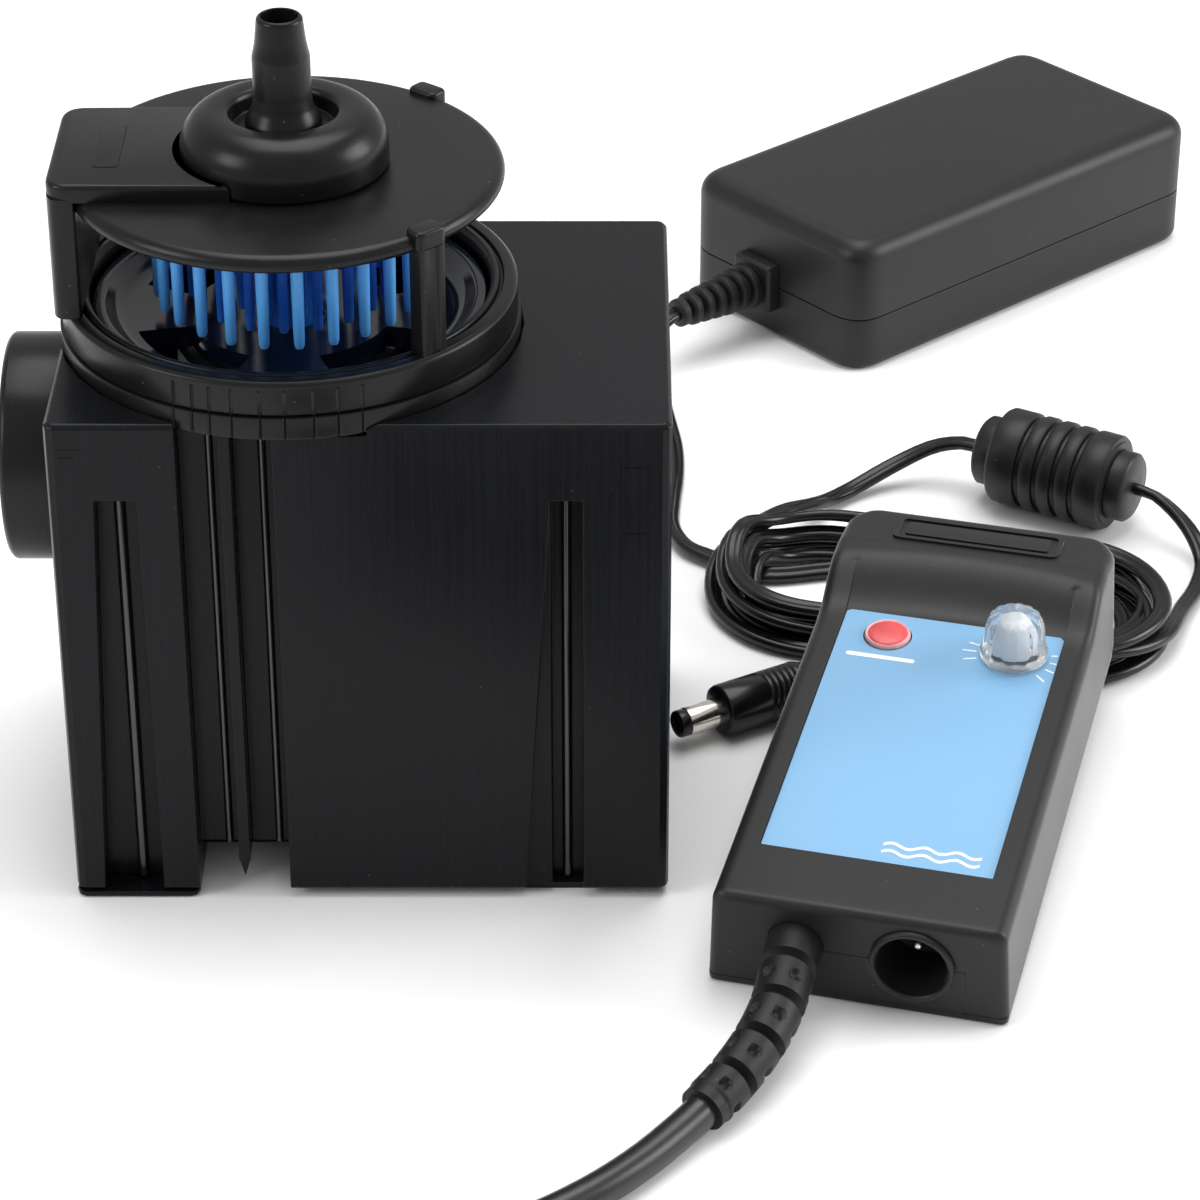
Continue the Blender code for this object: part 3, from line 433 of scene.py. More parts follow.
BLACK = (0.0055, 0.0058, 0.0062)
FINISH = {
    "block_plastic": block_black(),
    "cage_plastic": moulding("cage_black_plastic", BLACK, 0.3, 0.14, 0.22, 0.008, (1, 1, 0.5), 9.0, 0.25,
                             Specular_IOR_Level=0.24),
    "gloss_black": moulding("polished_black_plastic", BLACK, 0.2, 0.12, 0.3, 0.006, (1, 1, 4), 9.0, 0.2,
                            Specular_IOR_Level=0.8),
    "floor_gloss": moulding("dished_floor_plastic", (0.004, 0.007, 0.016), 0.13, 0.1, 0.4, 0.006, (1, 1, 1), 6.0, 0.0,
                           Specular_IOR_Level=0.5),
    "wheel_plastic": wheel_blue(),
    "case_plastic": moulding("case_black_texture", (0.0085, 0.0083, 0.0081), 0.42, 0.1, 0.2, 0.022, (1, 1, 1), 30.0,
                             0.3, Specular_IOR_Level=0.34, Sheen_Weight=0.04, Sheen_Roughness=0.35),
    "soft_touch": moulding("case_soft_touch", (0.010, 0.0098, 0.0095), 0.44, 0.1, 0.2, 0.022, (1, 1, 1), 30.0, 0.3,
                           Specular_IOR_Level=0.34, Sheen_Weight=0.9, Sheen_Roughness=0.16),
    "label_film": label_blue(),
    "button_plastic": moulding("button_red", (0.66, 0.075, 0.08), 0.34, 0.08, 0.3, 0.006, (1, 1, 1), 3.0),
    "button_rim": moulding("button_rim_pink", (0.72, 0.40, 0.42), 0.34, 0.08, 0.3, 0.004, (1, 1, 1), 3.0),
    "knob_plastic": clear_knob(),
    "rubber": moulding("rubber_black", (0.0065, 0.0065, 0.0063), 0.5, 0.12, 0.25, 0.02, (1, 1, 1), 8.0, 0.25,
                       Specular_IOR_Level=0.35),
    "cord_pvc": moulding("cord_black_pvc", (0.005, 0.005, 0.0055), 0.25, 0.12, 0.5, 0.01, (1, 1, 1), 7.0, 0.0,
                         Specular_IOR_Level=0.36),
    "cable_pvc": moulding("cable_grey_pvc", (0.016, 0.016, 0.016), 0.3, 0.12, 0.5, 0.012, (1, 1, 1), 8.0),
    "steel": plain_finish("plain_steel", (0.5, 0.5, 0.51), (0.68, 0.68, 0.69), 1.2, 0.32, 0.15, 0.01, 1.0, (1, 1, 4)),
    "nickel": plain_finish("bright_nickel", (0.68, 0.65, 0.58), (0.83, 0.8, 0.73), 1.0, 0.2, 0.12, 0.004, 1.0),
    "magnet": plain_finish("coated_magnet", (0.04, 0.04, 0.045), (0.08, 0.08, 0.085), 0.8, 0.45, 0.15, 0.02, 0.3),
    "ceramic": plain_finish("ground_ceramic", (0.78, 0.77, 0.72), (0.88, 0.87, 0.84), 0.9, 0.26, 0.12, 0.006),
    "copper": plain_finish("lacquered_copper", (0.55, 0.2, 0.08), (0.78, 0.36, 0.17), 0.5, 0.34, 0.1, 0.05, 1.0,
                           (9, 9, 1)),
    "board": plain_finish("green_laminate", (0.012, 0.11, 0.04), (0.03, 0.2, 0.08), 1.4, 0.45, 0.15, 0.02),
    "white": mark_white(),
    "strap": moulding("woven_strap", (0.014, 0.014, 0.015), 0.7, 0.1, 0.35, 0.12, (1, 1, 1), 5.0),
}


# ---------------------------------------------------------------- camera
def studio_camera():
    """Long lens, looking down 31 degrees from in front."""
    down = math.radians(31.0)
    data = bpy.data.cameras.new("studio_camera")
    data.lens, data.sensor_width = 126.0, 36.0
    data.clip_start, data.clip_end = 0.05, 20.0
    camera = bpy.data.objects.new("studio_camera", data)
    bpy.context.scene.collection.objects.link(camera)
    ahead = Vector((0.0, math.cos(down), -math.sin(down)))
    camera.location = Vector((0.053, 0.0, 0.0389)) - 0.7515 * ahead
    camera.rotation_euler = ahead.to_track_quat("-Z", "Y").to_euler()
    bpy.context.scene.camera = camera


# ---------------------------------------------------------------- cords
def hank_route(start, stop, radii, heights):
    """Points on flat loops round two lobes 44 mm apart, wound clockwise. Turns are counted from the right lobe's
    far side; radii and heights are given as (turn, value). Near the left lobe's outer end every turn rides over
    the incoming lead."""
    half, lobe, run = 22.0, 0.291, 0.209
    p = np.linspace(start, stop, int(abs(stop - start) * 64) + 2)
    r, z = (np.interp(p, *np.array(knots, float).T) for knots in (radii, heights))
    f = p % 1.0
    right, left = np.radians(90 - 180 * f / lobe), np.radians(270 - 180 * (f - 0.5) / lobe)
    where = [f < lobe, f < 0.5, f < 0.5 + lobe]
    x = np.select(where, [half + r * np.cos(right), half - 2 * half * (f - lobe) / run, -half + r * np.cos(left)],
                  -half + 2 * half * (f - 0.5 - lobe) / run)
    y = np.select(where, [r * np.sin(right), -r, r * np.sin(left)], r)
    lift = np.select([(f >= 0.5) & (f < 0.5 + lobe)], [np.exp(-((np.degrees(left) - 168) / 24) ** 2)], 0.0)
    wander = 0.35 * np.sin(2 * np.pi * p * 1.37 + 0.6)
    return in_frame(np.stack([x, y + wander, z + 3.3 * lift], -1), HANK)


LEAD_STEP, CABLE_STEP = 2.4, 3.2   # millimetres between the points of each cord


def lead_route():
    """The low-voltage lead from the supply's boot, five turns into the hank, through the choke, one more turn and
    out to the plug."""
    head = [(73.3, 167.3, 12.4), (68.9, 163.4, 12.4), (66.6, 160.9, 12.0), (65.2, 156.0, 9.4), (65.4, 148.6, 4.6),
            (67.0, 138.0, 1.9), (68.6, 124.0, 1.9), (68.7, 112.0, 1.9), (67.9, 101.0, 1.9), (67.6, 91.0, 1.9),
            (70.3, 82.6, 1.9), (75.5, 77.9, 1.9)]
    inward = in_frame(np.array([(-40.0, 3.2, 1.85), (-33.0, 3.6, 1.85), (-25.0, 7.4, 1.85), (-15.0, 12.1, 1.85),
                                (-7.0, 14.1, 1.85)]), HANK)
    first = hank_route(-0.1, 4.686, [(0, 14.6), (1.0, 14.6), (1.15, 18.4), (2.0, 18.4), (2.15, 22.2), (3.0, 22.2),
                                     (3.2, 16.5), (4.0, 16.5), (4.15, 20.3)],
                       [(2.9, 1.85), (3.05, 5.4), (4.686, 5.4)])
    to_choke = [*in_frame(np.array([(-35.5, 19.5, 7.0), (-31.4, 28.0, 4.6), (-29.0, 35.0, 2.4)]), HANK),
                (105.0, 105.6, 2.3), (113.0, 110.6, 4.6), (121.0, 112.3, 8.0), (127.0, 111.0, 9.8),
                (131.1, 108.6, 10.0)]
    from_choke = [(146.0, 100.0, 10.0), (160.9, 91.4, 10.0), (165.6, 88.0, 9.3), (170.6, 82.4, 6.0),
                  (172.8, 75.0, 2.9), (170.5, 66.0, 2.2), (166.6, 56.8, 3.0)]
    last = hank_route(5.146, 6.37, [(5.146, 24.2), (5.24, 22.0), (5.33, 18.2), (6.0, 18.2), (6.15, 22.2)],
                      [(5.146, 4.6), (5.24, 7.4), (5.33, 8.7), (6.3, 8.7), (6.37, 8.2)])
    tail = [(111.6, 36.5, 7.4), (107.2, 34.5, 6.0), (104.2, 32.8, 5.2), (102.2, 31.7, 5.0), (97.6, 29.05, 5.0)]
    return through(np.vstack([head, inward, first, to_choke, from_choke, last, tail]), LEAD_STEP)


def lead_section():
    """Two cores side by side with a waist between them: two circles of 2.2 mm, 1.4 mm apart."""
    core, apart = 1.1, 0.7
    right = np.radians(np.linspace(-128, 128, 9))
    left = right + np.pi
    return np.vstack([np.stack([apart + core * np.cos(right), core * np.sin(right)], -1),
                      np.stack([-apart + core * np.cos(left), core * np.sin(left)], -1)])


def lead():
    path = lead_route()
    along = np.arange(len(path)) * LEAD_STEP
    roll = 0.55 * np.sin(along / 31.0) + 0.35 * np.sin(along / 11.3 + 1.0)
    cord = piece("supply_lead", swept(path, lead_section(), 1.0, roll), FINISH["cord_pvc"],
                 ["dc_cord_head", "dc_cord_to_choke", "dc_cord_from_choke", "dc_cord_tail", "dc_hank"], edge=60)
    return cord, path


def cable_route():
    """The motor cable from the controller's relief into a coil of nine turns and out to its connector."""
    start = [(74.2, -96.8, 5.4), (69.4, -103.2, 4.2), (65.0, -108.6, 3.5), (59.6, -114.9, 3.1), (53.0, -121.6, 3.05),
             (45.6, -127.6, 3.05), (38.0, -132.6, 3.05)]
    turns = np.radians(np.linspace(110, 110 + 8 * 360 + 148, 8 * 26))
    p = (np.degrees(turns) - 110) / 360
    knots = np.array([(i + dt, i) for i in range(9) for dt in (0.0 if i == 0 else 0.16, 1.0)])
    which = knots[:, 1].astype(int)
    radii = np.interp(p, knots[:, 0], np.array([39.2, 32.9, 26.6, 26.6, 32.9, 26.6, 32.9, 39.2, 39.2])[which])
    heights = np.interp(p, knots[:, 0], np.array([3.1, 3.1, 3.1, 9.3, 9.3, 15.5, 15.5, 9.3, 6.6])[which])
    coil = np.stack([COIL_CENTRE[0] + radii * np.cos(turns), COIL_CENTRE[1] + radii * np.sin(turns), heights], -1)
    end = [(46.0, -217.2, 6.4), (58.0, -217.1, 6.5), (68.5, -217.0, 6.5), (73.0, -217.0, 6.5)]
    return through(np.vstack([start, coil, end]), CABLE_STEP)


def motor_cable():
    path = cable_route()
    cable = piece("pump_cable", swept(path, circle(3.0, 24)), FINISH["cable_pvc"],
                  ["motor_cable", "motor_cable_coil", "motor_cable_end"], edge=60)
    return cable, path


# ---------------------------------------------------------------- pump
def near(value, centre, width, edge=0.25):
    """1 within a width round the centre, falling to 0 over an edge."""
    return np.clip((0.5 * width - np.abs(value - centre)) / edge + 0.5, 0, 1)


def pump_block():
    eased_copy("pump_block", "block_housing", FINISH["block_plastic"], 0.22)
    eased_copy("pump_foot_cap", "block_foot_cap", FINISH["block_plastic"], 0.22)
    ribs = [plate(circle(r, 20) + (x, y), low, top) for x, y, r, low, top in (
        (-27.6, -32.0, 1.0, 1.8, 79.6), (47.3, -32.0, 0.9, 1.8, 79.6),
        (-12.2, -31.3, 0.7, 8.5, 91.9), (-3.4, -31.3, 0.7, 8.5, 91.9))]
    piece("slot_ribs", joined(*ribs), FINISH["gloss_black"])
    marks = [((-37.0, -33.0), (89.4, 90.0)), ((-36.6, -34.0), (88.0, 88.5)), ((56.6, 61.4), (80.6, 86.6)),
             ((56.6, 61.0), (60.0, 74.0))]
    shells = [lying(plate(rounded(*x, -b, -a, 0.3), -37.12, -36.8), "y") for x, (a, b) in marks]
    piece("mould_marks", joined(*shells), FINISH["block_plastic"])


def outlet():
    profile = soft([(16.5, -49.2), (17.3, -50.0), (19.2, -50.0), (20.0, -49.2), (20.0, -36.4), (18.6, -36.4),
                    (18.6, -33.4), (20.0, -33.4), (20.0, -30.0), (16.5, -30.0)], 0.35, steps=2)
    tube = shifted(lying(turned(profile, 128), "x"), (0, 2.0, 69.5))
    piece("outlet_tube", tube, FINISH["cage_plastic"], ["outlet_socket"])
    seal = soft([(18.9, -36.1), (20.1, -36.1), (20.1, -33.7), (18.9, -33.7)], 0.7, steps=3)
    piece("outlet_ring", shifted(lying(turned(seal, 96), "x"), (0, 2.0, 69.5)), FINISH["rubber"],
          ["outlet_seal"])
    gland = soft([(2.6, 29.5), (5.7, 29.5), (5.7, 41.3), (8.5, 41.3), (8.5, 45.0), (6.6, 46.5), (4.9, 52.0),
                  (3.2, 52.0), (3.2, 34.0), (2.6, 34.0)], 0.4, steps=3)
    piece("cable_gland", shifted(lying(turned(gland, 64), "y"), (0, 0, 24.0)), FINISH["rubber"],
          ["motor_gland"])


def front_ribs(r, z, a):
    """Narrow upright ribs on the front of a ring's outer wall, below its rim."""
    height, wall, rim = 0.3, 38.9, 101.9
    at = np.radians(270.0 + np.array([-26.0, -21.0, -16.5, -11.0, -4.0, 2.0, 9.0, 15.0, 21.0]))
    rib = near(a[..., None], at, 0.011, 0.004).max(-1)
    return height * rib * ((r > wall) & (z < rim))


def front_grooves(r, z, a):
    """The same lines sunk into the locking ring, so that it turns clear of the block."""
    return -front_ribs(r, z, a)


def wheel():
    hub = soft([(2.1, 92.7), (5.0, 92.7), (5.0, 119.5), (24.2, 119.5), (24.2, 120.9), (2.1, 120.9)], 0.3, steps=2)
    shells = [turned(hub, 96)]
    for count, circle_radius, r in ((24, 22.4, 1.15), (18, 16.6, 1.05), (12, 10.8, 1.0)):
        profile = [(0, 0), (0.35 * r, 101.2), (0.62 * r, 101.35), (0.78 * r, 101.9), (0.82 * r, 103.0), (r, 119.6),
                   (0, 0)]
        turns = 2 * np.pi * (np.arange(count) + 0.5) / count
        shells += [turned(profile, 14, (circle_radius * math.cos(a), circle_radius * math.sin(a))) for a in turns]
    piece("pin_wheel", joined(*shells), FINISH["wheel_plastic"], ["needle_wheel"], "rotor")
    dish = soft([(5.6, 93.0), (33.6, 93.0), (33.6, 100.6), (31.8, 100.6), (29.6, 97.6), (9.0, 96.4), (5.6, 96.4)],
                [[0.2], [0.2], [0.3], [0.5], [1.6], [0.8], [0.3]])
    swing = np.radians(np.linspace(-26, 26, 18))
    ports = []
    for middle in np.radians((45, 135, 225, 315)):
        outer, inner = ((r, middle + side) for r, side in ((27.0, swing), (17.5, swing[::-1])))
        outline = np.vstack([r * np.stack([np.cos(a), np.sin(a)], -1) for r, a in (outer, inner)])
        ports.append(plate(soft(outline, 0.5, steps=2), 92.0, 102.0))
    piece("dished_floor", turned(dish, 128), FINISH["floor_gloss"], ["volute_floor"],
          cuts=[joined(*ports)])


def cage():
    black = FINISH["cage_plastic"]
    skirt = soft([(34.2, 93.0), (39.2, 93.0), (39.5, 93.3), (39.5, 97.2), (34.2, 97.2)], 0.2, steps=2)
    piece("locking_ring", turned(skirt, 720, proud=front_grooves), black, ["bayonet_ring"], "bayonet")
    rim = soft([(34.3, 97.4), (39.0, 97.4), (39.0, 101.8), (39.0, 102.0), (39.0, 102.9), (38.3, 103.5), (36.6, 103.5),
                (36.4, 102.7), (36.0, 102.7), (35.8, 103.5), (34.9, 103.5), (34.3, 102.6)], 0.25, steps=2)
    piece("cage_rim", turned(rim, 720, proud=front_ribs), black, ["cage_ring"], "cage")
    disc = soft([(9.0, 122.2), (36.2, 122.0), (37.0, 122.7), (37.0, 123.9), (35.9, 125.0), (9.0, 125.0)], 0.9)
    piece("cage_top", turned(disc, 160), black, ["cage_disc"], "cage")
    wall = soft([(-34.0, -16.0), (-34.0, 16.0), (-38.9, 16.0), (-38.9, -16.0)], [[0.4], [0.4], [4.4], [4.4]], steps=8)
    lip = rounded(-34.6, -33.9, -15.4, -13.6, 0.3)
    shells = [plate(wall, 103.4, 125.4), plate(lip, 103.5, 122.4)]
    piece("cage_side", joined(*shells), black, ["cage_wall"], "cage")
    seat, seat_radius = np.radians(np.linspace(243, 117, 40)), 17.95
    left = rounded(-38.9, 0, -16.0, 16.0, 4.4)
    outline = np.vstack([left[(left[:, 0] < -20) & (left[:, 1] < 0)],
                         seat_radius * np.stack([np.cos(seat), np.sin(seat)], -1),
                         left[(left[:, 0] < -20) & (left[:, 1] > 0)]])
    piece("cage_bridge", plate(outline, 124.9, 128.0, 0, 0.9), black, ["cage_arm"], "cage")
    mark = plate(rounded(-31.6, -27.2, -8.6, 8.6, 0.9), 127.8, 128.16, 0, 0.12)
    piece("bridge_plate", mark, black, (), "cage")
    for name, node, degrees in (("front_post", "cage_pillar_front", -47.5), ("rear_post", "cage_pillar_rear", 51.0)):
        c, s = math.cos(math.radians(degrees)), math.sin(math.radians(degrees))
        turn = np.array([[c, s], [-s, c]])
        post = soft([(34.9, -2.6), (38.3, -2.6), (38.3, -1.1), (37.9, -0.9), (37.9, 0.9), (38.3, 1.1), (38.3, 2.6),
                     (34.9, 2.6)], 0.45, steps=3) @ turn
        boss = rounded(34.4, 38.4, -3.0, 3.0, 1.4) @ turn
        shells = [plate(post, 103.4, 125.2), plate(boss, 122.6, 126.0, 0.4, 0.7)]
        piece(name, joined(*shells), black, [node], "cage")


def air_cap():
    dome = soft([(5.15, 129.6), (15.4, 129.6), (15.6, 125.3), (17.6, 125.3), (17.6, 129.4), (17.0, 131.6),
                 (15.2, 133.9), (13.0, 134.9), (11.2, 135.0), (9.6, 134.8), (9.0, 134.0), (8.8, 131.5),
                 (5.15, 131.5)],
                [[0.2], [0.2], [0.2], [0.5], [0.8], [1.4], [1.4], [1.2], [0.9], [0.6], [0.5], [0.4], [0.2]])
    piece("dome", turned(dome, 128), FINISH["cage_plastic"], ["dome_cap"], "air_cap")
    nipple = soft([(3.15, 127.0), (4.8, 127.0), (4.8, 131.6), (6.5, 131.8), (6.5, 133.0), (5.2, 135.4), (4.9, 137.2),
                   (4.9, 144.4), (4.6, 145.6), (4.3, 147.2), (3.9, 151.1), (3.5, 151.5), (3.15, 151.5)],
                  [[0.2], [0.2], [0.2], [0.3], [0.4], [0.8], [0.8], [0.5], [0.5], [0.5], [0.3], [0.2], [0.2]])
    piece("hose_nipple", turned(nipple, 96), FINISH["cage_plastic"], ["air_nipple"], "air_cap")


# ---------------------------------------------------------------- controller
BUTTON, KNOB, JACK, RELIEF = (-11.3, 77.5), (12.1, 76.8), (9.4, 10.5), (-10.7, 11.2)
TRAY_HALF, TRAY_START, FACE, END_SLOPE = 20.3, 14.2, 20.0, 0.19


def ease(t):
    t = np.clip(t, 0, 1)
    return t * t * (3 - 2 * t)


def face_height(x, y):
    """Height of the controller's top: level, then a valley that climbs to a ridge bowed towards the middle, and a
    plane that falls gently to the end; inside the tray it lies lower until the ridge."""
    bowed = y + 3.4 * (x / 26.0) ** 2
    height = FACE + 5.0 * ease((bowed - 84.5) / 13.0) - END_SLOPE * np.maximum(y - 98.5, 0.0)
    tray = (np.abs(x) <= TRAY_HALF) * (y >= TRAY_START) * (1 - ease((bowed - 86.0) / 10.5))
    return height - 0.8 * tray


def case_shell():
    """Sections across the case: the face's height with a quarter round at each side, then walls that spread
    0.7 mm to the bottom. Near both ends the sections draw in along a quarter round."""
    front, back, edge, bottom, half = 1.6, 7.0, 2.4, 1.72, 26.0
    a = np.radians(np.linspace(0, 90, 9))
    y = np.r_[front * (1 - np.cos(a)), np.linspace(2.6, 13.9, 6), 14.15, 14.2, np.linspace(16, 84, 20),
              np.linspace(85, 105.5, 30), 106 + back * np.sin(a[:-1]), 112.95, 113.0]
    plan = np.where(y < front, front - np.sqrt(np.maximum(front ** 2 - (front - y) ** 2, 0)), 0.0)
    far = np.clip(y - (113 - back), 0, back)
    plan = plan + back - np.sqrt(back ** 2 - far ** 2)
    top = np.where(y < front, front - np.sqrt(np.maximum(front ** 2 - (front - y) ** 2, 0)), 0.0)
    top = top + 2.0 - np.sqrt(4.0 - np.clip(y - 111.0, 0, 2.0) ** 2)
    u = np.radians(np.linspace(-90, 90, 41))
    inner = np.r_[np.linspace(-20.36, -20.3, 2), np.linspace(-19, 19, 15), np.linspace(20.3, 20.36, 2)]
    wide = half - 0.7 - plan[:, None]
    outer = (22.0 - plan[:, None]) + (wide - 22.0 + plan[:, None]) * np.sin(np.linspace(0, np.pi / 2, 9))
    inner = np.broadcast_to(inner, (len(y), len(inner))) * (1 - plan[:, None] / half)
    x = np.hstack([-outer[:, ::-1], inner, outer])
    over = np.clip(np.abs(x) - (wide - edge), 0, edge)
    z = face_height(x, y[:, None]) - top[:, None] - (edge - np.sqrt(np.maximum(edge ** 2 - over ** 2, 0)))
    down = np.linspace(0.12, 1, 5)
    side_x = wide + 0.7 * down
    side_z = z[:, -1:] + (bottom - z[:, -1:]) * down
    x = np.hstack([x, side_x, -side_x[:, ::-1]])
    z = np.hstack([z, side_z, side_z[:, ::-1]])
    return skin(np.stack([x, np.repeat(y[:, None], x.shape[1], 1), z], -1))


def end_bore(radius, at, depth, start=-2.0):
    return shifted(lying(turned([(0, 0), (radius, start), (radius, depth), (0, 0)], 64), "y"), (at[0], 0, at[1]))


def well(radius, at, low):
    return turned([(0, 0), (radius, low), (radius, 40), (0, 0)], 64, at)


def controller():
    finish = FINISH["soft_touch"]
    bores = [end_bore(7.56, JACK, 15.0), end_bore(4.95, RELIEF, 6.0)]
    step = (-10.7, 18.6, 10.7)
    tongue_hole = plate(rounded(step[0], step[1], -1.0, 2.2, 0.05, 1), 0.0, step[2])
    piece("case_upper", case_shell(), finish, ["controller_upper_shell"], place=CASE,
          cuts=[well(4.5, BUTTON, 14.6), well(3.5, KNOB, 12.6), tongue_hole, *bores])
    plan = soft([(-26, 0), (26, 0), (26, 113), (-26, 113)], [[1.6], [1.6], [8.5], [8.5]], steps=9)
    tongue = plate(rounded(step[0] + 0.12, step[1] - 0.12, 0.0, 2.1, 0.05, 1), 1.5, step[2] - 0.12)
    feet = [turned([(0, 0), (2.8, -1.0), (2.8, 0.5), (0, 0)], 32, at)
            for at in ((-20.8, 5.2), (20.8, 5.2), (-20.8, 103.4), (20.8, 103.4))]
    piece("case_base", plate(plan, 0.0, 1.6, 0.7, 0.0), finish, ["controller_lower_shell"],
          place=CASE, cuts=feet)
    piece("case_tongue", tongue, finish, place=CASE, cuts=bores)
    rim_out, rim_in = rounded(-15.6, 15.6, 0, 9.4, 1.8), rounded(-14.6, 14.6, 1.0, 8.4, 1.1)
    frame_rows = [np.column_stack([edge, np.full(len(edge), z)])
                  for edge, z in ((rim_out, -0.4), (rim_out, 0.42), (rim_in, 0.42), (rim_in, -0.4))]
    badge = joined(skin(frame_rows, True), plate(rounded(-13.4, 13.4, 2.1, 7.3, 0.7), -0.4, 0.42, 0, 0.15))
    tilt = math.atan(-END_SLOPE)
    points = badge[0].copy()
    y, z = points[:, 1].copy(), points[:, 2].copy()
    points[:, 1] = 100.4 + y * math.cos(tilt) - z * math.sin(tilt)
    points[:, 2] = face_height(points[:, 0], points[:, 1]) + z
    piece("case_badge", (points, badge[1]), finish, place=CASE)
    film = plate(rounded(-20.1, 20.1, 14.5, 84.0, 0.9), 19.1, 19.36)
    piece("face_label", film, FINISH["label_film"], ["controller_label"], place=CASE,
          cuts=[well(4.45, BUTTON, 14.0), well(3.45, KNOB, 14.0)])
    label_prints()
    jack = [(0, 14.5), (6.9, 14.5), (6.9, 2.4), (7.5, 2.4), (7.5, -0.35), (7.15, -0.95), (6.6, -0.95), (6.25, -0.5),
            (6.2, 11.0), (2.9, 11.0), (2.9, 13.0), (0, 13.0)]
    jack = soft(jack, 0.18, closed=False, steps=2)
    piece("socket", shifted(lying(turned(jack, 96), "y"), (JACK[0], 0, JACK[1])), finish, ["dc_jack"],
          place=CASE)
    pin = soft([(0, 12.9), (0.95, 12.9), (0.95, 5.2), (0.5, 4.7), (0, 4.7)], 0.2, closed=False, steps=2)
    piece("socket_pin", shifted(lying(turned(pin, 24), "y"), (JACK[0], 0, JACK[1])), FINISH["nickel"],
          place=CASE)


def label_prints():
    """Generic print on the film: rays beside the knob, a dash under the button and a plain wave mark."""
    prints, low, high = [], 19.3, 19.41
    for degrees, start, stop in ((-44, 6.9, 9.2), (-24, 6.8, 8.6), (-6, 6.7, 7.9), (12, 6.7, 7.9), (166, 6.8, 8.8),
                                 (182, 6.8, 9.4), (199, 6.8, 9.2)):
        c, s = math.cos(math.radians(degrees)), math.sin(math.radians(degrees))
        bar = rounded(start, stop, -0.16, 0.16, 0.1, 2) @ np.array([[c, s], [-s, c]]) + KNOB
        prints.append(plate(bar, low, high))
    prints.append(plate(rounded(-17.6, -5.0, 70.4, 71.5, 0.5), low, high))
    x = np.linspace(0, 17.0, 60)
    for lift in (0.0, 2.0):
        wave = np.stack([x + 0.3, 17.6 + lift + 0.55 * np.sin(x * 1.1)], -1)
        outline = np.vstack([wave - (0, 0.35), (wave + (0, 0.35))[::-1]])
        prints.append(plate(outline, low, high))
    piece("label_prints", joined(*prints), FINISH["white"], place=CASE)


def button_and_knob():
    red = soft([(0, 15.6), (3.9, 15.6), (3.9, 19.6), (3.5, 20.15), (2.4, 20.45), (1.2, 20.58), (0, 20.6)], 0.35,
               closed=False)
    piece("red_button", turned(red, 64, BUTTON), FINISH["button_plastic"], ["timer_button"],
          "button", CASE)
    rim = soft([(3.5, 18.4), (4.2, 18.4), (4.2, 19.75), (3.95, 20.2), (3.5, 19.9)], 0.15, steps=2)
    piece("button_rim", turned(rim, 64, BUTTON), FINISH["button_rim"], (), "button", CASE)

    def flutes(r, z, a):
        """Fourteen soft flutes round the knob's side: a depth times the square of half of 1 + cos 14a."""
        count, depth = 14, 0.28
        return -depth * (0.5 + 0.5 * np.cos(count * a)) ** 2 * (r > 4.0) * (z > 21.4)

    clear = soft([(0, 13.0), (2.9, 13.0), (2.9, 19.7), (6.2, 19.7), (6.2, 21.0), (5.7, 21.5), (5.5, 24.0),
                  (5.35, 26.0), (4.7, 27.9), (2.7, 28.95), (0, 29.0)], 0.5, closed=False)
    piece("clear_knob", turned(clear, 168, KNOB, flutes), FINISH["knob_plastic"], ["speed_knob"],
          "knob", CASE)
    core = soft([(0, 20.4), (2.6, 20.4), (2.4, 26.2), (1.2, 27.2), (0, 27.3)], 0.4, closed=False)
    pointer = plate(rounded(-0.4, 0.4, 1.8, 5.0, 0.2) + KNOB, 20.3, 22.4)
    piece("knob_core", joined(turned(core, 48, KNOB), pointer), FINISH["white"], (), "knob", CASE)


def relief_share(along, a, length, radius):
    """Share of a moulded relief's radius: a slow taper, slots across the top and the bottom in turn, and dimples
    beside them. along is the distance from the case and a the angle round it, with 90 degrees up."""
    share = 1.0 - 0.13 * along / length
    for i in range(4):
        top, under = 8.5 + 8.6 * i, 12.8 + 8.6 * i
        over_top = near(a, np.pi / 2, math.radians(230), 0.25)
        below = near((a + np.pi) % (2 * np.pi), np.pi / 2, math.radians(190), 0.25)
        share = share - 0.36 * near(along, top, 1.5, 0.35) * over_top - 0.3 * near(along, under, 1.5, 0.35) * below
        for degrees in (58, 118):
            apart = np.hypot(along - under, (a - math.radians(degrees)) * radius)
            share = share - 0.2 * np.clip((1.15 - apart) / 0.35, 0, 1)
    return np.where(along > length - 2.2, 0.83, np.maximum(share, 0.55))


def controller_relief():
    """A circle carried down from the case's end, scaled at each row and angle by relief_share."""
    route = [(86.3, -65.2, 11.2), (85.6, -67.8, 11.0), (84.2, -74.0, 10.4), (82.2, -82.0, 9.0), (78.8, -89.6, 7.2),
             (74.2, -96.8, 5.4), (69.6, -102.9, 4.3)]
    spacing, radius, steps = 0.34, 4.9, 72
    path = through(route, spacing)
    along = np.linspace(0, spacing * len(path), len(path))[:, None]
    a = np.linspace(0, 2 * np.pi, steps, endpoint=False)[None]
    share = relief_share(along, a, float(along[-1, 0]), radius)
    piece("cable_relief", swept(path, circle(radius, steps), share), FINISH["rubber"],
          ["controller_strain_relief"], edge=50)


